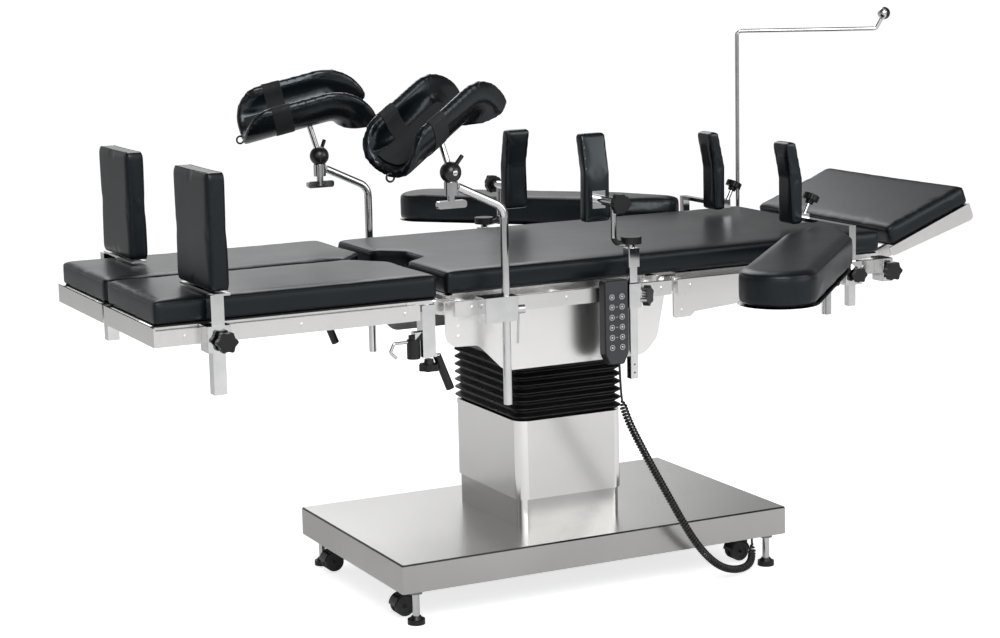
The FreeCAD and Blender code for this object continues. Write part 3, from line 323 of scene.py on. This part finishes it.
# painted dark reflection: a near-black copy of the steel for the band along the base cover's top bevel
paintedDarkEdgeFinish = {**steelFinish, "dark": (0.16, 0.16, 0.16), "light": (0.22, 0.22, 0.22), "smooth": 0.14,
              "rough": 0.18}
steelLong = brushedSteel("stainless_long", alongGrain, steelFinish)
steelUp = brushedSteel("stainless_up", uprightGrain, steelFinish)
steelPaintedLight = brushedSteel("stainless_painted_light", alongGrain, paintedLightFinish)
steelPaintedShade = brushedSteel("stainless_painted_shade", alongGrain, paintedShadeFinish)
steelLowerPaintedShade = brushedSteel("stainless_lower_painted_shade", uprightGrain, paintedShadeFinish)
steelPaintedHighlight = brushedSteel("stainless_painted_highlight", uprightGrain, paintedHighlightFinish)
steelPaintedDarkEdge = brushedSteel("stainless_painted_dark_edge", alongGrain, paintedDarkEdgeFinish)
chrome = chromed("chrome")
hide = upholsteryHide("upholstery", (0.29, 0.36), 0.34)
glossyHide = upholsteryHide("upholstery_glossy", (0.18, 0.24), 0.5)
plastic = mouldedBlack("black_plastic", (0.005, 0.005, 0.0055),
                       rough=0.36, grain=1200.0, bump=0.1, level=0.4)
rubber = mouldedBlack("bellows_rubber", (0.005, 0.005, 0.0055),
                      rough=0.32, grain=700.0, bump=0.04, level=0.45)
sheath = mouldedBlack("cord_sheath", (0.005, 0.005, 0.005), rough=0.3, grain=900.0, bump=0.04)
felt = mouldedBlack("felt_lining", (0.016, 0.0175, 0.019), rough=0.8, grain=1500.0, bump=0.4, level=0.3)
webbing = mouldedBlack("strap_webbing", (0.012, 0.013, 0.014),
                       rough=0.7, grain=1800.0, bump=0.4, level=0.35)
# dark deck boards under the pads: partly their own colour, partly painted shade in the gap between pads and
# frames
deckBoardAndShade = mouldedBlack("deck_board_and_painted_shade", (0.010, 0.010, 0.011),
                         rough=0.6, grain=600.0, bump=0.05, level=0.2)
panelGrey = mouldedBlack("handset_panel", (0.030, 0.033, 0.038), rough=0.45, grain=900.0, bump=0.03)
markGrey = mouldedBlack("key_marks", (0.62, 0.63, 0.64), rough=0.5, grain=400.0, bump=0.02)
gloss = mouldedBlack("castor_housing", (0.012, 0.012, 0.012), rough=0.22, grain=300.0, bump=0.02)
tread = mouldedBlack("wheel_tread", (0.03, 0.03, 0.032), rough=0.6, grain=500.0, bump=0.1)
paint = enamel("painted_steel", (0.30, 0.31, 0.32))
greyPaint = enamel("grey_enamel", (0.18, 0.19, 0.2))
print("materials made")


# camera, floor and lamps

cameraPlace = {"spot": (-2.07537, -4.04723, 1.30010), "yaw": 0.4569, "pitch": 0.1697, "roll": -0.0227,
               "focal": 2256.06, "width": 1000.0, "sensor": 36.0, "far": 60.0}


def addCamera(place):
    yaw, pitch, roll = place["yaw"], place["pitch"], place["roll"]
    ahead = Vector((math.sin(yaw) * math.cos(pitch), math.cos(yaw) * math.cos(pitch), -math.sin(pitch)))
    across = Vector((math.cos(yaw), -math.sin(yaw), 0))
    upward = across.cross(ahead)
    rightward = math.cos(roll) * across + math.sin(roll) * upward
    topward = -math.sin(roll) * across + math.cos(roll) * upward
    data = bpy.data.cameras.new("camera")
    data.sensor_width = place["sensor"]
    data.lens = place["focal"] / place["width"] * place["sensor"]
    data.clip_end = place["far"]
    camera = bpy.data.objects.new("camera", data)
    bpy.context.scene.collection.objects.link(camera)
    turn = Matrix((rightward, topward, -ahead)).transposed().to_4x4()
    camera.matrix_world = Matrix.Translation(place["spot"]) @ turn
    bpy.context.scene.camera = camera


def addNode(nodes, kind, operation=None, values=()):
    node = nodes.new(kind)
    if operation:
        node.operation = operation
    for number, value in enumerate(values):
        if value is not None:
            node.inputs[number].default_value = value
    return node


def addBackdrop(settings):
    world = bpy.data.worlds.new("studio")
    bpy.context.scene.world = world
    world.use_nodes = True
    nodes, links = world.node_tree.nodes, world.node_tree.links
    background = nodes["Background"]
    background.inputs["Color"].default_value = (1, 1, 1, 1)
    place = nodes.new("ShaderNodeTexCoord")
    parts = nodes.new("ShaderNodeSeparateXYZ")
    links.new(place.outputs["Generated"], parts.inputs[0])
    turn = addNode(nodes, "ShaderNodeMath", "ARCTAN2")
    links.new(parts.outputs["X"], turn.inputs[0])
    links.new(parts.outputs["Y"], turn.inputs[1])
    share = addNode(nodes, "ShaderNodeMapRange", None, (None, -math.pi, math.pi, 0.0, 1.0))
    links.new(turn.outputs[0], share.inputs[0])
    ring = nodes.new("ShaderNodeValToRGB")
    ring.color_ramp.interpolation = "EASE"
    stops = settings["ring"]
    while len(ring.color_ramp.elements) < len(stops):
        ring.color_ramp.elements.new(0.5)
    for element, (position, level) in zip(ring.color_ramp.elements, stops):
        element.position = position
        element.color = (level, level, level, 1)
    links.new(share.outputs[0], ring.inputs[0])
    lift = addNode(nodes, "ShaderNodeMapRange", None, (None, *settings["lift"]))
    links.new(parts.outputs["Z"], lift.inputs[0])
    mirrored = addNode(nodes, "ShaderNodeMath", "MULTIPLY")
    links.new(ring.outputs[0], mirrored.inputs[0])
    links.new(lift.outputs[0], mirrored.inputs[1])

    rays = nodes.new("ShaderNodeLightPath")
    shiny = addNode(nodes, "ShaderNodeMix")
    shiny.inputs[2].default_value = settings["sky"]
    links.new(rays.outputs["Is Glossy Ray"], shiny.inputs[0])
    links.new(mirrored.outputs[0], shiny.inputs[3])
    direct = addNode(nodes, "ShaderNodeMath", "MAXIMUM")
    links.new(rays.outputs["Is Camera Ray"], direct.inputs[0])
    links.new(rays.outputs["Is Transmission Ray"], direct.inputs[1])
    final = addNode(nodes, "ShaderNodeMix")
    final.inputs[3].default_value = 1.0
    links.new(direct.outputs[0], final.inputs[0])
    links.new(shiny.outputs[0], final.inputs[2])
    links.new(final.outputs[0], background.inputs["Strength"])


def addFloor(settings):
    deselect()
    bpy.ops.mesh.primitive_plane_add(size=settings["floorSize"], location=(0, 0, 0))
    floor = settle(bpy.context.object, "floor")
    material, nodes, links, shader = newMaterial("floor_white")
    shader.inputs["Base Color"].default_value = settings["floorColour"]
    shader.inputs["Roughness"].default_value = settings["floorRough"]
    shader.inputs["Specular IOR Level"].default_value = settings["floorLevel"]
    shader.inputs["Emission Color"].default_value = (1, 1, 1, 1)
    rays = nodes.new("ShaderNodeLightPath")
    direct = addNode(nodes, "ShaderNodeMath", "MAXIMUM")
    links.new(rays.outputs["Is Camera Ray"], direct.inputs[0])
    links.new(rays.outputs["Is Transmission Ray"], direct.inputs[1])
    glow = addNode(nodes, "ShaderNodeMath", "MULTIPLY", (None, settings["floorGlow"]))
    links.new(direct.outputs[0], glow.inputs[0])
    mirrored = addNode(nodes, "ShaderNodeMath", "MULTIPLY_ADD", (None, settings["floorMirror"], None))
    links.new(rays.outputs["Is Glossy Ray"], mirrored.inputs[0])
    links.new(glow.outputs[0], mirrored.inputs[2])
    links.new(mirrored.outputs[0], shader.inputs["Emission Strength"])
    floor.data.materials.append(material)


def addLamps(lamps, aim):
    for name, (spot, size, power) in lamps.items():
        data = bpy.data.lights.new(name, "AREA")
        data.shape = "SQUARE"
        data.size = size
        data.energy = power
        lamp = bpy.data.objects.new(name, data)
        lamp.location = spot
        lamp.rotation_euler = (Vector(aim) - Vector(spot)).to_track_quat("-Z", "Y").to_euler()
        bpy.context.scene.collection.objects.link(lamp)


def addStudio():
    settings = {
        "sky": 0.35, "floorGlow": 0.745, "floorMirror": 0.10, "floorSize": 120,
        "floorColour": (0.8, 0.8, 0.8, 1), "floorRough": 0.9, "floorLevel": 0.1,
        # the light that metal mirrors: 0.5 is behind the table, 0.75 its head end, 0.25 its foot end
        "ring": [(0.0, 1.35), (0.12, 1.2), (0.24, 0.12), (0.32, 0.30), (0.42, 0.45), (0.50, 0.70),
                 (0.545, 1.0), (0.572, 0.8), (0.60, 0.22), (0.72, 0.25), (0.80, 0.12), (0.86, 0.9),
                 (0.92, 1.4), (1.0, 1.35)],
        "lift": (0.15, 0.45, 1.0, 0.4),
    }
    addBackdrop(settings)
    addFloor(settings)
    addLamps({"key": ((-1.3, -3.6, 3.4), 2.4, 112.0), "fill": ((2.8, -3.0, 2.2), 2.6, 38.0),
              "rim": ((0.6, 2.8, 3.0), 2.4, 45.0)}, (0, 0, 0.5))


addCamera(cameraPlace)
addStudio()
print("camera and lamps placed")


# the handset's curly cord

cordRoute = [
    (8, -325, 477), (9, -326, 440), (12, -326, 400), (27, -326, 360), (46, -326, 323),
    (78, -325, 265), (117, -323, 198), (162, -319, 122), (200, -314, 72), (244, -304, 34),
    (292, -290, 16), (340, -268, 15), (364, -238, 36), (366, -232, 70),
]


def routeLine(route):
    data = bpy.data.curves.new("route", "CURVE")
    data.dimensions = "3D"
    data.resolution_u = 40
    spline = data.splines.new("NURBS")
    spline.points.add(len(route) - 1)
    for point, place in zip(spline.points, route):
        point.co = (place[0] / 1000, place[1] / 1000, place[2] / 1000, 1)
    spline.order_u = 3
    spline.use_endpoint_u = True
    holder = bpy.data.objects.new("route", data)
    bpy.context.scene.collection.objects.link(holder)
    line = bpy.data.meshes.new_from_object(holder)
    points = [v.co.copy() for v in line.vertices]
    bpy.data.objects.remove(holder)
    bpy.data.meshes.remove(line)
    return points


def addCord():
    settings = {"wire": 0.0047, "coilRadius": 0.0061, "pitch": 0.0068, "straight": 0.07, "perTurn": 10,
                "tail": 0.02, "fade": 0.015, "plainStep": 0.004}
    line = routeLine(cordRoute)
    reach = [0.0]
    for a, b in zip(line, line[1:]):
        reach.append(reach[-1] + (b - a).length)
    total = reach[-1]
    step = settings["pitch"] / settings["perTurn"]
    points = []
    across = Vector((1, 0, 0))
    i = 0
    distance = 0.0
    while distance < total:
        while reach[i + 1] < distance:
            i += 1
        share = (distance - reach[i]) / (reach[i + 1] - reach[i])
        centre = line[i].lerp(line[i + 1], share)
        ahead = (line[i + 1] - line[i]).normalized()
        across = (across - ahead * across.dot(ahead)).normalized()
        side = ahead.cross(across)
        inCoil = min(max((distance - settings["straight"]) / settings["fade"], 0), 1)
        inCoil *= min(max((total - settings["tail"] - distance) / settings["fade"], 0), 1)
        if inCoil > 0:
            angle = 2 * math.pi * (distance - settings["straight"]) / settings["pitch"]
            radius = settings["coilRadius"] * inCoil
            centre = centre + across * (radius * math.cos(angle)) + side * (radius * math.sin(angle))
            points.append(centre)
            distance += step
        else:
            points.append(centre)
            distance += settings["plainStep"]
    points.append(line[-1])
    data = bpy.data.curves.new("handset_cord_piece", "CURVE")
    data.dimensions = "3D"
    data.bevel_depth = settings["wire"] / 2
    data.bevel_resolution = 2
    data.use_fill_caps = True
    data.resolution_u = 2
    spline = data.splines.new("NURBS")
    spline.points.add(len(points) - 1)
    for point, place in zip(spline.points, points):
        point.co = (*place, 1)
    spline.order_u = 3
    spline.use_endpoint_u = True
    cord = bpy.data.objects.new("handset_curly_cord", data)
    bpy.context.scene.collection.objects.link(cord)
    data.materials.append(sheath)
    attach(cord, "base")
    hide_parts("handset_cord")


addCord()


# finishes of the CAD nodes that stay

def finishNode(node, material, patches=()):
    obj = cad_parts[node]
    obj.data.materials.clear()
    obj.data.materials.append(material)
    for number, (other, test) in enumerate(patches, 1):
        obj.data.materials.append(other)
        for face in obj.data.polygons:
            if test(face.center):
                face.material_index = number


def finishBody():
    settings = {"skirtTop": 0.1205, "bevel": (0.1213, 0.12385), "columnX": -0.006, "cornerX": 0.0985,
                "cornerY": 0.130, "discTop": 0.0165, "hoodLow": 0.047}
    bevelLow, bevelHigh = settings["bevel"]
    # the base cover takes painted light above its skirt, painted shade on the skirt and a painted dark
    # reflection along its top bevel
    finishNode("base_cover", steelPaintedLight, [
        (steelPaintedShade, lambda c: c.z < settings["skirtTop"]),
        (steelPaintedDarkEdge, lambda c: bevelLow < c.z < bevelHigh),
    ])

    # the faces on the rounded corners of the column covers, which take the painted highlight
    def onHighlightCorner(c):
        return abs(c.x - settings["columnX"]) > settings["cornerX"] and abs(c.y) > settings["cornerY"]

    # painted highlight on the corners of both column covers
    finishNode("column_upper_cover", steelUp, [(steelPaintedHighlight, onHighlightCorner)])
    # painted shade: the lower column cover takes the darker copy of the steel
    finishNode("column_lower_cover", steelLowerPaintedShade, [(steelPaintedHighlight, onHighlightCorner)])
    for node in ("base_chassis", "mast_outer", "mast_middle", "tilt_pedestal", "tilt_yoke"):
        finishNode(node, paint)
    finishNode("power_unit", greyPaint)
    finishNode("brake_feet", chrome, [(rubber, lambda c: c.z < settings["discTop"])])
    for end in ("foot_left", "foot_right", "head_left", "head_right"):
        finishNode("castor_fork_" + end, gloss, [(chrome, lambda c: c.z > settings["hoodLow"])])
        finishNode("castor_wheel_" + end, tread)


def finishTop():
    settings = {"deckLow": 0.6315, "knobY": 0.3371, "seatKnob": (0.0555, 0.3), "ball": (0.9635, 1.085),
                "handsetFace": -0.33395, "grip": (-0.353, 0.26, 0.497, 0.5225),
                "spring": (-0.4178, -0.3915, 0.2965, 0.5235, 0.5685), "heel": (-0.3555, 0.5285)}
    # the deck tops take the dark board colour, which also serves as painted shade under the pads
    darkDeckAndShade = (deckBoardAndShade, lambda c: c.z > settings["deckLow"])
    # painted light: the side covers take the lighter copy of the steel
    finishNode("side_covers", steelPaintedLight)
    for node in ("seat_frame", "back_frame", "leg_frame_left", "leg_frame_right"):
        finishNode(node, steelLong, [darkDeckAndShade])
    finishNode("head_frame", steelLong)
    knobX, knobY = settings["seatKnob"]
    ballX, ballZ = settings["ball"]
    knob = (plastic, lambda c: abs(c.y) > settings["knobY"])
    finishNode("back_clamps", chrome, [knob])
    finishNode("seat_clamps", chrome, [(plastic, lambda c: c.x > knobX and abs(c.y) > knobY)])
    finishNode("screen_rod", chrome, [(plastic, lambda c: c.x > ballX and c.z > ballZ)])
    finishNode("handset", plastic, [(panelGrey, lambda c: c.y < settings["handsetFace"])])
    gripX, gripY, gripLow, gripHigh = settings["grip"]
    springBack, springFront, springY, springLow, springHigh = settings["spring"]
    heelX, heelZ = settings["heel"]
    for side in sides:
        finishNode("foot_clamp_" + side, chrome, [knob])
        finishNode("leg_bracket_" + side, chrome, [
            (plastic, lambda c: c.x < gripX and abs(c.y) > gripY and gripLow < c.z < gripHigh),
            (rubber, lambda c: springBack < c.x < springFront and abs(c.y) < springY
             and springLow < c.z < springHigh),
            (rubber, lambda c: c.x > heelX and c.z < heelZ),
        ])


def finishSupports():
    settings = {"wingY": 0.3345, "wingZ": 0.73, "rodKnob": (0.7079, 0.7221), "rodKnobY": 0.322,
                "rodKnobRadius": 0.0201, "rightLower": 0.029, "shoulderKnobZ": 0.7275}
    for side in sides:
        for node in ("foot_post_", "holder_rod_", "lateral_post_"):
            finishNode(node + side, chrome)
        lower = 0.0 if side == "left" else settings["rightLower"]
        low, high = (z - lower for z in settings["rodKnob"])
        finishNode("lateral_arm_" + side, chrome, [
            (plastic, lambda c: abs(c.y) > settings["wingY"] and c.z > settings["wingZ"]),
            (plastic, lambda c: low < c.z < high
             and abs(abs(c.y) - settings["rodKnobY"]) < settings["rodKnobRadius"]),
        ])
        finishNode("shoulder_arm_" + side, chrome, [(plastic, lambda c: c.z > settings["shoulderKnobZ"])])


finishBody()
finishTop()
finishSupports()
print("CAD nodes finished")


# pads

padSettings = {"pressure": 4.0, "frames": 16, "quality": 4, "stretch": 25, "shear": 10, "bending": 2,
               "seamRadius": 0.0009, "seamDrop": 0.0065, "fill": 0.9, "shrink": 0.001}
padFineness = {  # the size of a voxel, and the most that a pad swells
    "mattress": (0.0075, 0.0025), "section": (0.0065, 0.0025), "arm": (0.0065, 0.003),
    "board": (0.005, 0.002), "small": (0.004, 0.002),
}


def inflate(obj, cap):
    start = [v.co.copy() for v in obj.data.vertices]
    pick(obj)
    cloth = obj.modifiers.new("Cloth", "CLOTH")
    cloth.settings.quality = padSettings["quality"]
    cloth.settings.tension_stiffness = padSettings["stretch"]
    cloth.settings.compression_stiffness = padSettings["stretch"]
    cloth.settings.shear_stiffness = padSettings["shear"]
    cloth.settings.bending_stiffness = padSettings["bending"]
    cloth.settings.use_pressure = True
    cloth.settings.uniform_pressure_force = padSettings["pressure"]
    cloth.settings.effector_weights.gravity = 0
    cloth.collision_settings.use_collision = False
    scene = bpy.context.scene
    for number in range(1, padSettings["frames"] + 1):
        scene.frame_set(number)
    bpy.ops.object.modifier_apply(modifier=cloth.name)
    scene.frame_set(1)
    for vertex, before in zip(obj.data.vertices, start):  # no point stands further out than the cap
        move = vertex.co - before
        if move.length > cap:
            vertex.co = before + move * (cap / move.length)
    return obj


def seamOn(pad, planeSpot, planeNormal, radius):
    pick(pad)
    line = pad.copy()
    line.data = pad.data.copy()
    bpy.context.scene.collection.objects.link(line)
    pick(line)
    bpy.ops.object.mode_set(mode="EDIT")
    bpy.ops.mesh.select_all(action="SELECT")
    bpy.ops.mesh.bisect(plane_co=planeSpot, plane_no=planeNormal, clear_inner=True, clear_outer=True)
    bpy.ops.object.mode_set(mode="OBJECT")
    if not line.data.edges:
        bpy.data.objects.remove(line)
        return None
    pick(line)
    bpy.ops.object.convert(target="CURVE")
    line = bpy.context.object
    line.data.bevel_depth = radius
    line.data.bevel_resolution = 1
    bpy.ops.object.convert(target="MESH")
    return bpy.context.object


def makePad(name, nodes, body, fineness, seams=(), shrink=padSettings["shrink"], blendWith=None,
            keep=None, skin=hide):
    voxel, cap = padFineness[fineness]
    pad = copyNode(name, *nodes)
    if keep:
        keepPoints(pad, keep)
    finishWith(pad, "REMESH", mode="VOXEL", voxel_size=voxel)
    finishWith(pad, "SMOOTH", factor=0.5, iterations=2)
    finishWith(pad, "DISPLACE", strength=-shrink, mid_level=0.0)
    inflate(pad, cap)
    finishWith(pad, "SUBSURF", levels=1, render_levels=1)
    lines = [seamOn(pad, spot, normal, padSettings["seamRadius"]) for spot, normal in seams]
    pad = joinAll([pad] + [line for line in lines if line], name)
    softShade(pad, 60)
    pad.data.materials.clear()
    pad.data.materials.append(skin)
    for face in pad.data.polygons:
        face.material_index = 0
    if blendWith:
        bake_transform(pad)
    else:
        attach(pad, body)
    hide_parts(*nodes)
    print("pad", name, len(pad.data.polygons))
    return pad


flat = (0, 0, 1)
topSeam = ((0, 0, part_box("seat_pad")[1].z - padSettings["seamDrop"]), flat)


def makeMiddlePads():
    settings = {"bend": (0.103, 0.209), "hingeZ": 0.612, "headAngle": 21, "headHinge": (0.668, 0, 0.610),
                "headTop": 0.057}
    bendStart, bendEnd = settings["bend"]
    hingeZ = settings["hingeZ"]
    makePad("mattress", ["seat_pad", "pad_bend", "back_pad"], "seat", "mattress", [topSeam],
            blendWith=("seat", "back", (bendStart, 0, hingeZ), (bendEnd, 0, hingeZ)))
    angle = math.radians(settings["headAngle"])
    headUp = Vector((-math.sin(angle), 0, math.cos(angle)))
    seamSpot = Vector(settings["headHinge"]) + headUp * (settings["headTop"] - padSettings["seamDrop"])
    makePad("head_cushion", ["head_pad"], "head", "section", [(seamSpot, headUp)])


def makeSidePads(side):
    settings = {"footSeam": 0.005, "armSeam": 0.009, "boardLow": 0.6438, "boardLap": 0.0009}
    makePad("leg_cushion_" + side, ["leg_pad_" + side], "leg_" + side, "section", [topSeam])
    low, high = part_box("foot_pad_" + side)
    inset = settings["footSeam"]
    footSeams = [((x, 0, 0), (1, 0, 0)) for x in (low.x + inset, high.x - inset)]
    makePad("foot_cushion_" + side, ["foot_pad_" + side], "foot_board_" + side, "board", footSeams)
    makePad("lateral_cushion_" + side, ["lateral_pad_" + side], "support_" + side, "small", skin=glossyHide)
    makePad("shoulder_cushion_" + side, ["shoulder_pad_" + side], "shoulder_" + side, "small",
            skin=glossyHide)
    board = "arm_board_" + side
    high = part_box(board)[1]
    makePad("arm_cushion_" + side, [board], "arm_rest_" + side, "arm",
            [((0, 0, high.z - settings["armSeam"]), flat)], keep=lambda p: p.z > settings["boardLow"])
    post = keepPoints(copyNode("arm_post_" + side, board),
                      lambda p: p.z < settings["boardLow"] + settings["boardLap"])
    dress(softShade(post), chrome, "arm_rest_" + side, "chrome", board)


makeMiddlePads()
for side in sides:
    makeSidePads(side)
print("pads made")


# knee rests

restPlace = {  # the ball joints stand at different angles on the two sides
    "left": {"ball": 0.870, "stem": (-0.013, -0.020, 0.068), "pitch": 28, "turn": -22, "roll": -6},
    "right": {"ball": 0.850, "stem": (-0.022, 0, 0.071), "pitch": 13, "turn": -16, "roll": 21},
}
restShape = {"ballX": -0.338, "ballY": 0.322, "ballRadius": 0.020, "under": (-0.040, 0, -0.062),
             "calf": 0.182, "stub": (0.018, 0.014, 0.031)}


def restFrame(side):
    place = restPlace[side]
    turned = (Matrix.Rotation(math.radians(place["turn"]), 4, "Z")
              @ Matrix.Rotation(-math.radians(place["pitch"]), 4, "Y")
              @ Matrix.Rotation(math.radians(place["roll"]), 4, "X"))
    ball = Vector((restShape["ballX"], restShape["ballY"], place["ball"]))
    stemTop = ball + Vector(place["stem"])
    origin = stemTop - turned @ Vector(restShape["under"])
    mirror = Matrix.Diagonal((1, sides[side], 1, 1))
    return mirror @ Matrix.Translation(origin) @ turned, mirror @ ball, mirror @ stemTop, mirror


def addStrap(pad, side, frameOf, body, node):
    settings = {"place": (-0.112, -0.074), "lift": 0.0012, "thick": 0.0014}
    ahead = frameOf.to_3x3() @ Vector((1, 0, 0))
    first, last = settings["place"]
    strap = duplicate(pad, "knee_strap_" + side)
    cutAway(strap, frameOf @ Vector((last, 0, 0)), ahead)
    cutAway(strap, frameOf @ Vector((first, 0, 0)), -ahead)
    finishWith(strap, "DISPLACE", strength=settings["lift"], mid_level=0.0)
    finishWith(strap, "SOLIDIFY", thickness=settings["thick"], offset=-1)
    dress(softShade(strap, 50), webbing, body, "upholstery", node)


def addLining(pad, side, frameOf, body, node):
    settings = {"back": -0.165, "front": 0.030, "half": 0.036, "top": -0.012, "inside": 0.056,
                "lift": 0.0034, "thick": 0.001}
    turned = frameOf.to_3x3()
    inward = frameOf.inverted()
    lining = duplicate(pad, "knee_lining_" + side)
    for spot, normal in (((settings["front"], 0, 0), (1, 0, 0)), ((settings["back"], 0, 0), (-1, 0, 0)),
                         ((0, settings["half"], 0), (0, 1, 0)), ((0, -settings["half"], 0), (0, -1, 0)),
                         ((0, 0, settings["top"]), (0, 0, 1))):
        cutAway(lining, frameOf @ Vector(spot), turned @ Vector(normal))

    def inside(point):
        local = inward @ point
        return math.hypot(local.y, local.z) < settings["inside"]

    keepPoints(lining, inside, close=False)
    finishWith(lining, "DISPLACE", strength=settings["lift"], mid_level=0.0)
    finishWith(lining, "SOLIDIFY", thickness=settings["thick"], offset=-1)
    dress(softShade(lining, 50), felt, body, "upholstery", node)


def addBallJoint(side, place, body, node):
    settings = {"loop": 0.0075, "loopWire": 0.002, "loopSpot": (-restShape["calf"] - 0.003, 0, -0.060),
                "stub": 0.004, "stubEdge": 0.0008, "stem": 0.006, "screw": 0.005, "screwOut": 0.0015,
                "screwEdge": 0.0006}
    frameOf, ball, stemTop, mirror = place
    deselect()
    bpy.ops.mesh.primitive_uv_sphere_add(segments=40, ring_count=24, radius=restShape["ballRadius"],
                                         location=ball)
    knob = settle(bpy.context.object, "knee_ball_" + side)
    tip = ball + mirror.to_3x3() @ Vector(restShape["stub"])
    stub = rounded(cylinder("stub", ball, tip, settings["stub"], 24), settings["stubEdge"])
    deselect()
    bpy.ops.mesh.primitive_torus_add(major_radius=settings["loop"], minor_radius=settings["loopWire"],
                                     major_segments=28, minor_segments=10,
                                     location=frameOf @ Vector(settings["loopSpot"]),
                                     rotation=(math.radians(90), 0, 0))
    loop = settle(bpy.context.object, "loop")
    dress(softShade(joinAll([knob, stub, loop], "knee_ball_" + side)), gloss, body, "black_plastic", node)

    stem = cylinder("knee_stem_" + side, ball, stemTop, settings["stem"], 28)
    outward = Vector((0, sides[side], 0))
    face = ball + outward * (restShape["ballRadius"] + settings["screwOut"])
    screw = rounded(cylinder("screw", ball, face, settings["screw"], 28), settings["screwEdge"])
    dress(softShade(joinAll([stem, screw], "knee_stem_" + side)), chrome, body, "chrome", node)


def addKneeRest(side):
    settings = {"seam": 0.010, "clear": 0.045, "shrink": 0.0005}
    place = restFrame(side)
    frameOf, ball = place[:2]
    body, node = "knee_rest_" + side, "trough_" + side
    seam = (frameOf @ Vector((0, 0, settings["seam"])), frameOf.to_3x3() @ Vector((0, 0, 1)))
    pad = makePad("knee_cushion_" + side, [node], body, "board", [seam], settings["shrink"],
                  keep=lambda p: (p - ball).length > settings["clear"], skin=glossyHide)
    addStrap(pad, side, frameOf, body, node)
    addLining(pad, side, frameOf, body, node)
    addBallJoint(side, place, body, node)


for side in sides:
    addKneeRest(side)
print("knee rests made")


# bellows, handset marks

def addBellows():
    settings = {"pleatRound": 0.0036, "pleatAngle": 25}
    sleeve = copyNode("bellows_sleeve", "bellows")
    rounded(sleeve, settings["pleatRound"], 3, settings["pleatAngle"])
    softShade(sleeve, 50)
    dress(sleeve, rubber, None, "bellows_rubber")
    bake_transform(sleeve)
    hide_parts("bellows")


def addKeyMarks():
    settings = {"middle": -0.001, "top": 0.610, "pitch": 0.0196, "apart": 0.022, "rows": 6, "face": -0.3351,
                "ring": 0.0050, "line": 0.0005, "dot": 0.0018, "dotOut": 0.0002, "dotIn": 0.0003,
                "dash": (0.002, 0.0004), "dashFace": (-0.3343, -0.3338)}
    middle, face = settings["middle"], settings["face"]
    dashHalf, dashRise = settings["dash"]
    dashOut, dashIn = settings["dashFace"]
    marks = []
    for row in range(settings["rows"]):
        z = settings["top"] - row * settings["pitch"]
        for x in (middle - settings["apart"] / 2, middle + settings["apart"] / 2):
            deselect()
            bpy.ops.mesh.primitive_torus_add(major_radius=settings["ring"], minor_radius=settings["line"],
                                             major_segments=32, minor_segments=6, location=(x, face, z),
                                             rotation=(math.radians(90), 0, 0))
            marks.append(settle(bpy.context.object, "ring"))
            outer, inner = face - settings["dotOut"], face + settings["dotIn"]
            marks.append(cylinder("dot", (x, outer, z), (x, inner, z), settings["dot"], 16))
        if 0 < row < settings["rows"] - 1:
            marks.append(box("dash", (middle - dashHalf, dashOut, z - dashRise),
                             (middle + dashHalf, dashIn, z + dashRise)))
    dress(joinAll(marks, "key_marks"), markGrey, "seat", "black_plastic")


addBellows()
addKeyMarks()
print("bellows and key marks made")

bpy.context.scene.view_settings.view_transform = "Standard"
